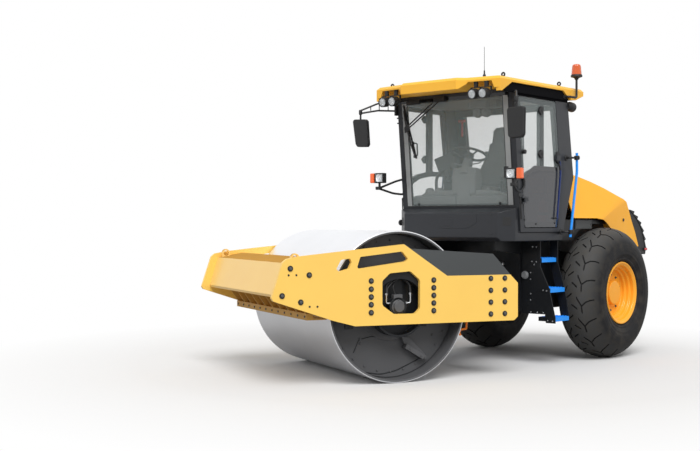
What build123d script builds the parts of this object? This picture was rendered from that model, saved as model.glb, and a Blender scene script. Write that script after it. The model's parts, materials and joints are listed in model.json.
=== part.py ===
"""Single-drum soil roller, hinged in the middle, in millimetres.

Two bodies are laid out from the steering hinge. REAR carries the cab, the engine
and the tyres. FRONT carries the drum between its two side plates, and is parked
turned to the right. In both, x runs forward, y to the left and z up from the ground.
The part's own origin is on the ground, in the middle of the parked machine.
"""
from build123d import *
from math import atan2, copysign, cos, degrees, radians, sin
import os

os.makedirs("parts", exist_ok=True)

# ---------------------------------------------------------------- driving dimensions
DRUM_RADIUS = 761.5
DRUM_WIDTH = 2130
DRUM_SHELL = 30
DRUM_REACH = 1450        # drum axis ahead of the steering hinge
DISC_INSET = 190         # the drum's end discs sit this far in from its ends
SHAFT_RADIUS = 80

TYRE_RADIUS = 772
TYRE_WIDTH = 550
TYRE_CENTRE = 822        # middle of a tyre from the middle of the machine
RIM_RADIUS = 335
AXLE_REACH = 1620        # rear axle behind the steering hinge

PLATE_GAP = 30           # drum end to side plate
PLATE_THICKNESS = 40
PLATE_NOSE = 1377        # front tip of a side plate ahead of the drum axis
PARKED_TURN = 24         # degrees to the right of straight ahead

CAB_HALF = 800           # half the width over the cab's side frames
CAB_FLOOR = 1500
CAB_UNDERSIDE = 1400
CAB_TOP = 3050
GLASS = 6
HOOD_WALL = 8
GRILLE_FOOT = 1195       # underside of the hood's tail, over the ballast
HOOD_HINGE = (-975, 2175)    # (x, z) of the hood's hinge pins
HOOD_PIN = 8
HOOD_POST_Y = (385, 415)
FRAME_HALF = 450         # half the width over the rear frame's side rails
RAIL_THICKNESS = 30
MIRROR_REACH = 1168      # outer edge of a mirror from the middle

SEAT_GAP = 0.3           # round pieces that sit in one another
RUN_GAP = 0.05           # radial clearance of a shaft that turns
DOOR_GAP = 8             # door edge to its opening
DOOR_CORNER = 30

DRUM_Z = DRUM_RADIUS     # height of the drum's axis
PLATE_FRONT = DRUM_REACH + PLATE_NOSE
PLATE_INNER = DRUM_WIDTH / 2 + PLATE_GAP
PLATE_OUTER = PLATE_INNER + PLATE_THICKNESS
BASE_HALF = CAB_HALF - 18    # half the width over the cab's base

# ------------------------------------------------------------------- the two bodies
turn = radians(PARKED_TURN)
far_corner = PLATE_FRONT * sin(turn) + PLATE_OUTER * cos(turn)
HINGE_Y = (far_corner - MIRROR_REACH) / 2
REAR = Plane((0, HINGE_Y, 0))
FRONT = REAR.rotated((0, 0, -PARKED_TURN))
SIDES = (("left", 1), ("right", -1))


def flat(body, x=0, y=0, z=0):
    """A level plane: local x forward, local y left."""
    return Plane(body.location * Location((x, y, z)))


def upright(body, x=0, y=0, z=0):
    """A standing plane along the body: local x forward, local y up, facing right."""
    return Plane(body.location * Location((x, y, z)) * Plane.XZ.location)


def across(body, x=0, y=0, z=0):
    """A standing plane across the body: local x left, local y up, facing forward."""
    return Plane(body.location * Location((x, y, z)) * Plane.YZ.location)


def block(body, x, y, z, mode=Mode.ADD):
    """A box between (low, high) pairs along the body's length, width and height."""
    with BuildSketch(flat(body, sum(x) / 2, sum(y) / 2, z[0])) as foot:
        Rectangle(x[1] - x[0], abs(y[1] - y[0]))
    extrude(foot.sketch, amount=z[1] - z[0], mode=mode)


def profile(body, points, y, mode=Mode.ADD, corner=0):
    """A side outline of (x, z) points, between two distances from the middle."""
    with BuildSketch(upright(body, y=y[0])) as outline:
        Polygon(*points, align=None)
        if corner:
            fillet(outline.vertices(), corner)
    extrude(outline.sketch, amount=y[0] - y[1], mode=mode)


def plan(body, points, z, mode=Mode.ADD, corner=0):
    """A plan outline of (x, y) points, between two heights."""
    with BuildSketch(flat(body, z=z[0])) as outline:
        Polygon(*points, align=None)
        if corner:
            fillet(outline.vertices(), corner)
    extrude(outline.sketch, amount=z[1] - z[0], mode=mode)


def cross_section(body, points, x, mode=Mode.ADD):
    """An outline of (y, z) points seen from in front, between two forward places."""
    with BuildSketch(across(body, x=x[0])) as outline:
        Polygon(*points, align=None)
    extrude(outline.sketch, amount=x[1] - x[0], mode=mode)


def disc(plane, radius, length, mode=Mode.ADD):
    """A round bar that grows from the plane along its facing."""
    with BuildSketch(plane) as section:
        Circle(radius)
    extrude(section.sketch, amount=length, mode=mode)


def tube(body, points, bend, radius):
    """A round bar through (x, y, z) points of the body, with rounded bends."""
    placed = [(body.location * Location(point)).position for point in points]
    with BuildLine() as route:
        FilletPolyline(*placed, radius=bend)
    with BuildSketch(Plane(route.line @ 0, z_dir=route.line % 0)) as section:
        Circle(radius)
    sweep(section.sketch, path=route.line)


def both_sides(points):
    """Points of the left half, followed by their mirror images."""
    return points + [(x, -y) for x, y in reversed(points)]


# ================================================================== FRONT FRAME
PLATE_TAIL = [  # (x, z) from the hinge and the ground, over the rear end
    (393, 1282), (179, 1062), (89, 975), (89, 624), (136, 586),
]
PLATE_NOSE_OUTLINE = [  # (x, z) from the drum's axis, from below round by the front
    (508, -170), (743, -108), (1359, 96), (PLATE_NOSE, 124), (1265, 460), (1223, 494),
    (1087, 519), (734, 555), (-34, 626), (-107, 581),
]
PLATE_CORNER = 20
PLATE_WINDOWS = [  # (x, z) from the drum's axis and a corner radius: the bearing
    # window, then two slots
    ([(214, 267), (130, 340), (-97, 357), (-206, 268),
      (-206, -19), (-154, -68), (85, -66), (214, 25)], 45),
    ([(489, 401), (453, 506), (-5, 554), (-74, 478), (-40, 454), (464, 391)], 15),
    ([(710, 390), (661, 478), (563, 492), (547, 452), (574, 393), (682, 365)], 15),
]


def from_drum(points):
    """Points given from the drum's axis, as points of the front frame."""
    return [(DRUM_REACH + x, DRUM_Z + z) for x, z in points]


for side, way in SIDES:
    with BuildPart() as side_plate:
        faces = (way * PLATE_OUTER, way * PLATE_INNER)
        profile(FRONT, PLATE_TAIL + from_drum(PLATE_NOSE_OUTLINE), faces,
                corner=PLATE_CORNER)
        for window, corner in PLATE_WINDOWS:
            profile(FRONT, from_drum(window), faces, Mode.SUBTRACT, corner)
    side_plate.part.label = f"side_plate_{side}"
    export_step(side_plate.part, f"parts/side_plate_{side}.step")

# Front beam: a sloping box between the plates, ahead of the drum.
BEAM_GAP = 138           # drum to the beam's rear face
BEAM_REAR = DRUM_REACH + DRUM_RADIUS + BEAM_GAP
BEAM_FLOOR = DRUM_Z + 119
BEAM_BROW = (PLATE_FRONT - 187, DRUM_Z + 451)    # front edge of the sloping top
BEAM_CREST = DRUM_Z + 501
BEAM_OUTLINE = [
    (BEAM_REAR, BEAM_FLOOR), (PLATE_FRONT - 103, BEAM_FLOOR),
    (PLATE_FRONT - 90, BEAM_FLOOR + 25), BEAM_BROW, (BEAM_REAR, BEAM_CREST),
]

# Its lashing eyes: a round-headed lug on the sloping top, inside each plate.
EYE_X = PLATE_FRONT - 267
EYE_THICKNESS = 30
EYE_RADIUS = 30
EYE_HEAD = 46            # radius of the lug's head
EYE_HEIGHT = DRUM_Z + 499
EYE_INSET = 60           # plate's inner face to the lug's inner face
beam_fall = (BEAM_CREST - BEAM_BROW[1]) / (BEAM_BROW[0] - BEAM_REAR)
beam_top = BEAM_BROW[1] + (BEAM_BROW[0] - EYE_X) * beam_fall
with BuildPart() as front_beam:
    profile(FRONT, BEAM_OUTLINE, (PLATE_INNER, -PLATE_INNER))
    for side, way in SIDES:
        inner = way * (PLATE_INNER - EYE_INSET)
        outer = inner + way * EYE_THICKNESS
        face = upright(FRONT, EYE_X, max(outer, inner), EYE_HEIGHT)
        profile(FRONT, [(EYE_X - EYE_HEAD, beam_top + EYE_HEAD * beam_fall - 1),
                        (EYE_X + EYE_HEAD, beam_top - EYE_HEAD * beam_fall - 1),
                        (EYE_X + EYE_HEAD, EYE_HEIGHT), (EYE_X - EYE_HEAD, EYE_HEIGHT)],
                (outer, inner))
        disc(face, EYE_HEAD, EYE_THICKNESS)
        disc(face, EYE_RADIUS, EYE_THICKNESS, Mode.SUBTRACT)
front_beam.part.label = "front_beam"
export_step(front_beam.part, "parts/front_beam.step")

# Rear beam: the cross member that carries the steering yoke and the cylinder eyes.
CROSS_REAR = 200
CROSS_FRONT = 470
CROSS_FLOOR = 595
CROSS_TOP = 1050
ROD_EYE_X = 100
ROD_EYE_Y = 280
CYLINDER_Z = 670
EAR_THICKNESS = 22
ROD_EYE_HALF = 25        # half the height of the rod's eye
PIN_RADIUS = 22
EAR_GAP = 6              # rod eye to ear
PIN_HEAD_RADIUS = 30
with BuildPart() as rear_beam:
    block(FRONT, (CROSS_REAR, CROSS_FRONT), (-PLATE_INNER, PLATE_INNER),
          (CROSS_FLOOR, CROSS_TOP))
    for side, way in SIDES:
        for level in (1, -1):
            near = CYLINDER_Z + level * (ROD_EYE_HALF + EAR_GAP)
            far = near + level * EAR_THICKNESS
            low, high = sorted((near, far))
            block(FRONT, (ROD_EYE_X, CROSS_REAR + 1),
                  (way * ROD_EYE_Y - 40, way * ROD_EYE_Y + 40), (low, high))
            disc(flat(FRONT, ROD_EYE_X, way * ROD_EYE_Y, low), 40, EAR_THICKNESS)
            head = far if level > 0 else far - 14
            disc(flat(FRONT, ROD_EYE_X, way * ROD_EYE_Y, head), PIN_HEAD_RADIUS, 14)
rear_beam.part.label = "rear_beam"
export_step(rear_beam.part, "parts/rear_beam.step")

# Steering yoke: two fork plates and the pin through them, on the hinge line.
FORK_HALF = 130
FORK_THICKNESS = 40
FORK_LOW = 600
FORK_HIGH = 1000
KNUCKLE_GAP = 10
HINGE_PIN_RADIUS = 45
with BuildPart() as steering_yoke:
    for level in (FORK_LOW, FORK_HIGH):
        with BuildSketch(flat(FRONT, z=level)) as fork:
            with Locations((CROSS_REAR / 2, 0)):
                Rectangle(CROSS_REAR, 2 * FORK_HALF)
            Circle(FORK_HALF)
        extrude(fork.sketch, amount=FORK_THICKNESS)
    disc(flat(FRONT, z=FORK_LOW - 20), HINGE_PIN_RADIUS,
         FORK_HIGH + FORK_THICKNESS + 20 - (FORK_LOW - 20))
steering_yoke.part.label = "steering_yoke"
export_step(steering_yoke.part, "parts/steering_yoke.step")

# Drum carriers: flanged housings inside the plates, each with the drum's stub shaft.
FLANGE = [(-398, -121), (374, -121), (374, 351), (-398, 351)]   # from the drum's axis
FLANGE_THICKNESS = 20
HOUSING_RADIUS = 300
HOUSING_WALL = 20
HOUSING_DEPTH = 120
MOTOR_RADIUS = 95
flange_face = PLATE_INNER - FLANGE_THICKNESS
disc_face = DRUM_WIDTH / 2 - DISC_INSET
with BuildPart() as drum_carriers:
    for side, way in SIDES:
        profile(FRONT, from_drum(FLANGE), (way * PLATE_INNER, way * flange_face))
        hub = upright(FRONT, DRUM_REACH, way * PLATE_INNER, DRUM_Z)
        disc(hub, HOUSING_RADIUS, way * (FLANGE_THICKNESS + HOUSING_DEPTH))
        disc(hub, HOUSING_RADIUS - HOUSING_WALL,
             way * (FLANGE_THICKNESS + HOUSING_DEPTH - 25), Mode.SUBTRACT)
        floor = upright(FRONT, DRUM_REACH,
                        way * (flange_face - HOUSING_DEPTH + 25), DRUM_Z)
        disc(floor, MOTOR_RADIUS, -way * 80)
        disc(floor, SHAFT_RADIUS, way * (25 + DISC_INSET - HOUSING_DEPTH + 10 + 60))
drum_carriers.part.label = "drum_carriers"
export_step(drum_carriers.part, "parts/drum_carriers.step")

# Scrapers: a bar and blade behind the drum, and a ribbed one hung below the front beam.
BLADE_GAP = 9            # blade tip to drum
BLADE_HALF = DRUM_WIDTH / 2 - 25
BLADE_THICKNESS = 12
REAR_SCRAPER_Z = DRUM_Z + 239
REAR_BAR = (-130, -60)   # the rear bar's faces, from the drum's surface
FRONT_SCRAPER_Z = DRUM_Z - 92
FRONT_BAR = (915, 980)   # the front bar's faces, from the drum's axis
FRONT_BAR_HEIGHT = 65
APRON_THICKNESS = 10
RIB_COUNT = 10
RIB_PITCH = 2 * (BLADE_HALF - 40) / (RIB_COUNT - 1)
RIB_THICKNESS = 14
RIB_REACH = 190          # length of a rib along the beam's floor


def drum_reach(z):
    """Half the drum's length along the ground at a height."""
    return (DRUM_RADIUS ** 2 - (z - DRUM_Z) ** 2) ** 0.5


rear_face = DRUM_REACH - drum_reach(REAR_SCRAPER_Z)
front_face = DRUM_REACH + drum_reach(FRONT_SCRAPER_Z)
bar_rear, bar_front = (DRUM_REACH + x for x in FRONT_BAR)
bar_floor = FRONT_SCRAPER_Z - BLADE_THICKNESS
bar_top = bar_floor + FRONT_BAR_HEIGHT
with BuildPart() as scrapers:
    block(FRONT, (rear_face + REAR_BAR[0], rear_face + REAR_BAR[1]), (-PLATE_INNER, PLATE_INNER),
          (REAR_SCRAPER_Z - 40, REAR_SCRAPER_Z + 30))
    block(FRONT, (rear_face + REAR_BAR[1] - 1, rear_face - BLADE_GAP - 3),
          (-BLADE_HALF, BLADE_HALF), (REAR_SCRAPER_Z - BLADE_THICKNESS, REAR_SCRAPER_Z))
    block(FRONT, (front_face + BLADE_GAP + 3, bar_rear + 1), (-BLADE_HALF, BLADE_HALF),
          (bar_floor, FRONT_SCRAPER_Z))
    block(FRONT, (bar_rear, bar_front), (-BLADE_HALF, BLADE_HALF), (bar_floor, bar_top))
    profile(FRONT, [(bar_rear, bar_top - 1), (bar_rear + APRON_THICKNESS, bar_top - 1),
                    (BEAM_REAR + APRON_THICKNESS, BEAM_FLOOR), (BEAM_REAR, BEAM_FLOOR)],
            (BLADE_HALF, -BLADE_HALF))
    for rib in range(RIB_COUNT):
        middle = (rib - (RIB_COUNT - 1) / 2) * RIB_PITCH
        profile(FRONT, [(bar_rear + 1, bar_top - 1), (bar_front, bar_top - 1),
                        (BEAM_REAR + RIB_REACH, BEAM_FLOOR), (BEAM_REAR + 1, BEAM_FLOOR)],
                (middle + RIB_THICKNESS / 2, middle - RIB_THICKNESS / 2))
scrapers.part.label = "scrapers"
export_step(scrapers.part, "parts/scrapers.step")

# Drum: an open-ended shell with two inset discs that run on the carriers' shafts.
DISC_THICKNESS = 28
BOSS_RADIUS = 150
with BuildPart() as drum:
    end = upright(FRONT, DRUM_REACH, DRUM_WIDTH / 2, DRUM_Z)
    disc(end, DRUM_RADIUS, DRUM_WIDTH)
    disc(end, DRUM_RADIUS - DRUM_SHELL, DRUM_WIDTH, Mode.SUBTRACT)
    for side, way in SIDES:
        face = upright(FRONT, DRUM_REACH, way * disc_face, DRUM_Z)
        disc(face, DRUM_RADIUS - DRUM_SHELL + 1, way * DISC_THICKNESS)
        disc(face, BOSS_RADIUS, way * 60)
        disc(upright(FRONT, DRUM_REACH, way * (disc_face + 1), DRUM_Z),
             SHAFT_RADIUS + RUN_GAP, way * 62, Mode.SUBTRACT)
drum.part.label = "drum"
export_step(drum.part, "parts/drum.step")

# ================================================================== REAR CHASSIS
BULKHEAD_X = -350
KNUCKLE_RADIUS = 115
HOOD_LUG = 28            # length of the hood's hinge lugs along their pins
KNUCKLE_LOW = FORK_LOW + FORK_THICKNESS + KNUCKLE_GAP
KNUCKLE_HIGH = FORK_HIGH - KNUCKLE_GAP
CYLINDER_WINDOW = (150, 400)    # from the middle, in the bulkhead
AXLE_TUBE_RADIUS = 130
AXLE_Z = TYRE_RADIUS
RAIL_OUTLINE = [  # (x, z)
    (BULKHEAD_X, 600), (BULKHEAD_X, 1250), (150, 1300), (150, CAB_UNDERSIDE),
    (-800, CAB_UNDERSIDE), (-1250, 1260), (-2900, 1180), (-2900, 1000), (-2300, 940),
    (-2000, 640), (-1250, 600),
]
with BuildPart() as rear_frame:
    for side, way in SIDES:
        profile(REAR, RAIL_OUTLINE, (way * FRAME_HALF, way * (FRAME_HALF - RAIL_THICKNESS)))
        disc(upright(REAR, -AXLE_REACH, way * (FRAME_HALF + 1), AXLE_Z),
             AXLE_TUBE_RADIUS + SEAT_GAP, way * (RAIL_THICKNESS + 2), Mode.SUBTRACT)
    block(REAR, (BULKHEAD_X - 30, BULKHEAD_X), (-FRAME_HALF, FRAME_HALF),
          (600, CAB_UNDERSIDE))
    block(REAR, (-2900, -2870), (-FRAME_HALF, FRAME_HALF), (1000, 1180))
    block(REAR, (-1300, -1270), (-FRAME_HALF, FRAME_HALF), (605, 980))
    for side, way in SIDES:
        block(REAR, (BULKHEAD_X - 40, BULKHEAD_X + 10),
              (way * CYLINDER_WINDOW[0], way * CYLINDER_WINDOW[1]),
              (CYLINDER_Z - 75, CYLINDER_Z + 75), Mode.SUBTRACT)
    with BuildSketch(flat(REAR, z=KNUCKLE_LOW)) as knuckle:
        with Locations(((BULKHEAD_X - 20) / 2, 0)):
            Rectangle(-BULKHEAD_X + 20, 2 * KNUCKLE_RADIUS)
        Circle(KNUCKLE_RADIUS)
    extrude(knuckle.sketch, amount=KNUCKLE_HIGH - KNUCKLE_LOW)
    disc(flat(REAR, z=KNUCKLE_LOW - 1), HINGE_PIN_RADIUS + RUN_GAP,
         KNUCKLE_HIGH - KNUCKLE_LOW + 2, Mode.SUBTRACT)
    # Posts with the hood's hinge pins, up behind the cab.
    for side, way in SIDES:
        near, far = (way * y for y in HOOD_POST_Y)
        profile(REAR, [(HOOD_HINGE[0] - 40, 1330), (HOOD_HINGE[0] + 40, 1330),
                       (HOOD_HINGE[0] + 12, HOOD_HINGE[1]), (HOOD_HINGE[0] - 12, HOOD_HINGE[1])],
                (far, near))
        pin_face = upright(REAR, HOOD_HINGE[0], far, HOOD_HINGE[1])
        disc(pin_face, 12, way * (HOOD_POST_Y[1] - HOOD_POST_Y[0]))
        block(REAR, (HOOD_HINGE[0] - 40, HOOD_HINGE[0] + 40), (near, way * (FRAME_HALF - 1)),
              (1300, 1345))
        disc(pin_face, HOOD_PIN, -way * HOOD_LUG)
    # The cylinders' rear anchors stand out of a cross tube behind the bulkhead.
    CYLINDER_FOOT_X = -750
    CYLINDER_FOOT_Y = 280
    BARREL_EYE_HALF = 30
    block(REAR, (CYLINDER_FOOT_X - 110, CYLINDER_FOOT_X - 60), (-FRAME_HALF, FRAME_HALF),
          (605, 740))
    for side, way in SIDES:
        foot_y = way * CYLINDER_FOOT_Y
        for level in (1, -1):
            near = CYLINDER_Z + level * (BARREL_EYE_HALF + 3)
            low, high = sorted((near, near + level * 25))
            block(REAR, (CYLINDER_FOOT_X - 61, CYLINDER_FOOT_X), (foot_y - 45, foot_y + 45),
                  (low, high))
            disc(flat(REAR, CYLINDER_FOOT_X, foot_y, low), 45, 25)
        disc(flat(REAR, CYLINDER_FOOT_X, foot_y, CYLINDER_Z - BARREL_EYE_HALF - 20),
             PIN_RADIUS, 2 * BARREL_EYE_HALF + 40)
rear_frame.part.label = "rear_frame"
export_step(rear_frame.part, "parts/rear_frame.step")

# Rear axle: a housing through the rails, with a spindle for each wheel.
SPINDLE_RADIUS = 70
AXLE_TUBE_HALF = 560
DISC_FACE_Y = 900        # inner face of the wheel's disc
with BuildPart() as rear_axle:
    disc(upright(REAR, -AXLE_REACH, AXLE_TUBE_HALF, AXLE_Z), AXLE_TUBE_RADIUS,
         2 * AXLE_TUBE_HALF)
    disc(upright(REAR, -AXLE_REACH, DISC_FACE_Y + 60, AXLE_Z), SPINDLE_RADIUS,
         2 * (DISC_FACE_Y + 60))
    with BuildSketch(flat(REAR, -AXLE_REACH, 0, AXLE_Z - 190)) as bowl:
        RegularPolygon(250, 8)
    extrude(bowl.sketch, amount=380)
rear_axle.part.label = "rear_axle"
export_step(rear_axle.part, "parts/rear_axle.step")

# Engine: one block between the rails.
with BuildPart() as engine_block:
    block(REAR, (-2480, -1400), (-340, 340), (1100, 1600))
    for x in (-2350, -1600):
        block(REAR, (x - 50, x + 50), (-FRAME_HALF + RAIL_THICKNESS, FRAME_HALF - RAIL_THICKNESS),
              (1110, 1150))
engine_block.part.label = "engine_block"
export_step(engine_block.part, "parts/engine_block.step")

# Rear ballast: the cast bumper across the tail.
BALLAST_HALF = 600
STOP_GAP = 0.3           # shut hood to its rubber stops
with BuildPart() as rear_ballast:
    profile(REAR, [(-2900, 1180), (-2900, 800), (-2960, 790), (-3040, 870), (-3040, 1180)],
            (BALLAST_HALF, -BALLAST_HALF))
    for side, way in SIDES:
        block(REAR, (-2935, -2905), (way * 380, way * 440), (1179, GRILLE_FOOT - STOP_GAP))
rear_ballast.part.label = "rear_ballast"
export_step(rear_ballast.part, "parts/rear_ballast.step")

# Mudguards: closed boxes between the cab and the tyres, outside the rails.
GUARD_FRONT = -760
GUARD_OUTLINE = [
    (GUARD_FRONT, 1398), (-1040, 1398), (-1180, 1500), (-1400, 1590), (-1900, 1590),
    (-1900, 1640), (GUARD_FRONT, 1640),
]
with BuildPart() as mudguards:
    for side, way in SIDES:
        profile(REAR, GUARD_OUTLINE, (way * (FRAME_HALF + 270), way * (FRAME_HALF + 20)))
        block(REAR, (-1000, GUARD_FRONT),
              (way * (FRAME_HALF - RAIL_THICKNESS), way * (FRAME_HALF + 21)),
              (CAB_UNDERSIDE, 1640))
mudguards.part.label = "mudguards"
export_step(mudguards.part, "parts/mudguards.step")

# Ladders: two plates that face forward and three treads each side, under the cab's sills.
LADDER_FRONT = -380      # forward face of the front plate
LADDER_REAR = -700       # forward face of the rear plate
LADDER_PLATE = 12
TREAD_THICKNESS = 48
TREAD_DEPTH = 210
FRONT_PLATE = [  # (y from the rail's outer face, z), the left one, round by the outside
    (0, 575), (0, 1405), (248, 1405), (248, 1110), (361, 870), (441, 540), (441, 480),
    (320, 480), (309, 575),
]
REAR_PLATE = [
    (180, 1150), (180, 1405), (280, 1405), (280, 1150), (370, 850), (425, 540),
    (425, 480), (345, 480),
]
TREADS = [  # (height, outer y from the rail's outer face)
    (1204, 262), (868, 372), (545, 428),
]
with BuildPart() as ladders:
    for side, way in SIDES:
        for outline, x in ((FRONT_PLATE, LADDER_FRONT), (REAR_PLATE, LADDER_REAR)):
            cross_section(REAR, [(way * (FRAME_HALF + y), min(z, CAB_UNDERSIDE))
                                 for y, z in outline], (x, x - LADDER_PLATE))
        for height, reach in TREADS:
            outer = way * (FRAME_HALF + reach)
            block(REAR, (LADDER_REAR, LADDER_FRONT - LADDER_PLATE),
                  (outer - way * TREAD_DEPTH, outer), (height - TREAD_THICKNESS, height))
ladders.part.label = "ladders"
export_step(ladders.part, "parts/ladders.step")

# ================================================================== CAB
SCREEN_FOOT = (210, 1787)       # outer face of the windscreen, (x, z)
SCREEN_HEAD = (327, 3011)
SCREEN_HALF = CAB_HALF - 65
SCREEN_LEAN = (SCREEN_HEAD[0] - SCREEN_FOOT[0]) / (SCREEN_HEAD[1] - SCREEN_FOOT[1])


def screen_x(z, behind=0):
    """Forward place of the windscreen's outer face at a height, less a distance."""
    return SCREEN_FOOT[0] + (z - SCREEN_FOOT[1]) * SCREEN_LEAN - behind


BASE_NOSE_HALF = CAB_HALF - 164
with BuildPart() as cab_base:
    plan(REAR, both_sides([(-721, BASE_HALF), (264, BASE_HALF), (391, BASE_NOSE_HALF)]),
         (CAB_UNDERSIDE, 1780))
    profile(REAR, [(-721, CAB_UNDERSIDE), (360, CAB_UNDERSIDE), (391, 1440), (391, 1711),
                   (264, 1758), (screen_x(1765, GLASS - 1), 1765),
                   (screen_x(CAB_FLOOR, GLASS - 1), CAB_FLOOR), (-721, CAB_FLOOR)],
            (900, -900), Mode.INTERSECT)
cab_base.part.label = "cab_base"
export_step(cab_base.part, "parts/cab_base.step")

# Cab frame: front and rear pillars, lower walls and roof rails, hollow and windowed.
PILLAR = 85              # front pillar, seen from the side
PILLAR_WIDTH = 110       # front pillar, seen from in front
REAR_PILLAR_WIDTH = 180
SIDE_WALL = 60
FRONT_WALL = 70
REAR_WALL = 60
SILL_TOP = 1545
DOOR_HEAD = 2975
CAB_REAR = [(-796, 3030), (-933, 2120), (-721, 1566)]
CAB_OUTLINE = [
    (screen_x(CAB_FLOOR, GLASS), CAB_FLOOR), (screen_x(CAB_TOP, GLASS), CAB_TOP),
    (-793, CAB_TOP), *CAB_REAR, (-721, CAB_FLOOR),
]
CABIN_OUTLINE = [
    (screen_x(CAB_FLOOR - 10, FRONT_WALL), CAB_FLOOR - 10),
    (screen_x(2990, FRONT_WALL), 2990), (-790 + REAR_WALL, 2990),
    (-796 + REAR_WALL, 2970), (-933 + REAR_WALL, 2120), (-721 + REAR_WALL, 1566),
    (-721 + REAR_WALL, CAB_FLOOR - 10),
]
DOORWAY = [
    (screen_x(SILL_TOP, PILLAR), SILL_TOP), (screen_x(DOOR_HEAD, PILLAR), DOOR_HEAD),
    (-540, DOOR_HEAD), (-640, 2120), (-590, SILL_TOP),
]
FASCIA_FACE = CAB_HALF + 26
FASCIA_OUTLINE = [(588, 2998), (412, 3098), (-640, 3098), (-780, 2998)]   # (x, z)
HINGE_OUT = 20           # door hinge line outside the cab's side
HINGE_LEVELS = (1850, 2800)
HINGE_PIN = 7
KNUCKLE_LENGTH = 40
EAR_LENGTH = 15


def hinge_plane(way, z):
    """A plane across the door's hinge line, which leans as the front pillar does."""
    place = (REAR.location * Location((screen_x(z, PILLAR), way * (CAB_HALF + HINGE_OUT), z)))
    lean = Vector(SCREEN_LEAN, 0, 1)
    return Plane(place.position, x_dir=(1, 0, -SCREEN_LEAN), z_dir=lean)


with BuildPart() as cab_frame:
    profile(REAR, CAB_OUTLINE, (CAB_HALF, -CAB_HALF))
    profile(REAR, CABIN_OUTLINE, (CAB_HALF - SIDE_WALL, -CAB_HALF + SIDE_WALL), Mode.SUBTRACT)
    profile(REAR, DOORWAY, (CAB_HALF + 10, -CAB_HALF - 10), Mode.SUBTRACT,
            corner=DOOR_CORNER - DOOR_GAP)
    block(REAR, (0, 400), (PILLAR_WIDTH - CAB_HALF, CAB_HALF - PILLAR_WIDTH), (1815, 2965),
          Mode.SUBTRACT)
    block(REAR, (-1000, -600), (REAR_PILLAR_WIDTH - CAB_HALF, CAB_HALF - REAR_PILLAR_WIDTH),
          (1950, 2900), Mode.SUBTRACT)
    for side, way in SIDES:
        profile(REAR, FASCIA_OUTLINE, (way * FASCIA_FACE, way * (CAB_HALF - 1)))
        for z in HINGE_LEVELS:
            for level in (KNUCKLE_LENGTH / 2 + 2, -KNUCKLE_LENGTH / 2 - 2 - EAR_LENGTH):
                with BuildSketch(hinge_plane(way, z).offset(level)) as ear:
                    Circle(14)
                    with Locations((35, way * -5)):
                        Rectangle(50, 40)
                    with Locations((8, 0)):
                        Rectangle(16, 28)
                extrude(ear.sketch, amount=EAR_LENGTH)
            disc(hinge_plane(way, z).offset(-KNUCKLE_LENGTH / 2 - 2 - EAR_LENGTH), HINGE_PIN,
                 KNUCKLE_LENGTH + 4 + 2 * EAR_LENGTH)
cab_frame.part.label = "cab_frame"
export_step(cab_frame.part, "parts/cab_frame.step")

# Windscreen and rear window.
with BuildPart() as windscreen:
    profile(REAR, [SCREEN_FOOT, SCREEN_HEAD, (SCREEN_HEAD[0] - GLASS, SCREEN_HEAD[1]),
                   (SCREEN_FOOT[0] - GLASS, SCREEN_FOOT[1])], (SCREEN_HALF, -SCREEN_HALF))
windscreen.part.label = "windscreen"
export_step(windscreen.part, "parts/windscreen.step")

rear_slope = (CAB_REAR[1][0] - CAB_REAR[0][0]) / (CAB_REAR[1][1] - CAB_REAR[0][1])


def cab_back(z):
    """Rear face of the cab above its kink."""
    return CAB_REAR[0][0] + (z - CAB_REAR[0][1]) * rear_slope


with BuildPart() as rear_window:
    profile(REAR, [(cab_back(2140), 2140), (cab_back(2940), 2940),
                   (cab_back(2940) - GLASS, 2940), (cab_back(2140) - GLASS, 2140)],
            (CAB_HALF - REAR_PILLAR_WIDTH + 30, REAR_PILLAR_WIDTH - 30 - CAB_HALF))
rear_window.part.label = "rear_window"
export_step(rear_window.part, "parts/rear_window.step")

# Doors: a glazed frame each side, with a middle post and an arched rail.
DOOR_THICKNESS = 40
DOOR_FACE = CAB_HALF - GLASS
DOOR_EDGE = 48
PANE_CORNER = 12
DOOR_OUTLINE = [
    (screen_x(SILL_TOP, PILLAR + DOOR_GAP), SILL_TOP + DOOR_GAP),
    (screen_x(DOOR_HEAD, PILLAR + DOOR_GAP), DOOR_HEAD - DOOR_GAP),
    (-540 + DOOR_GAP, DOOR_HEAD - DOOR_GAP), (-640 + DOOR_GAP, 2120),
    (-590 + DOOR_GAP, SILL_TOP + DOOR_GAP),
]
edge_x = PILLAR + DOOR_GAP + DOOR_EDGE
ARCH_TOP = [(-180, 2205), (-30, 2178), (70, 2137)]
ARCH_FOOT = [(-40, 2120), (60, 2072), (120, 2030)]
DOOR_WINDOWS = [
    [(screen_x(DOOR_HEAD, edge_x), DOOR_HEAD - DOOR_GAP - 55),
     (-215, DOOR_HEAD - DOOR_GAP - 55), (-215, 2212), *ARCH_TOP,
     (screen_x(2115, edge_x), 2115)],
    [(-300, DOOR_HEAD - DOOR_GAP - 55), (-540 + DOOR_GAP + 44, DOOR_HEAD - DOOR_GAP - 55),
     (-640 + DOOR_GAP + DOOR_EDGE, 2218), (-300, 2218)],
    [(screen_x(1995, edge_x), 1995), *reversed(ARCH_FOOT), (-200, 2152), (-300, 2162),
     (-640 + DOOR_GAP + DOOR_EDGE, 2162), (-590 + DOOR_GAP + DOOR_EDGE, 1610),
     (screen_x(1610, edge_x), 1610)],
]
HANDLE = (-560, 2330)
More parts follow.
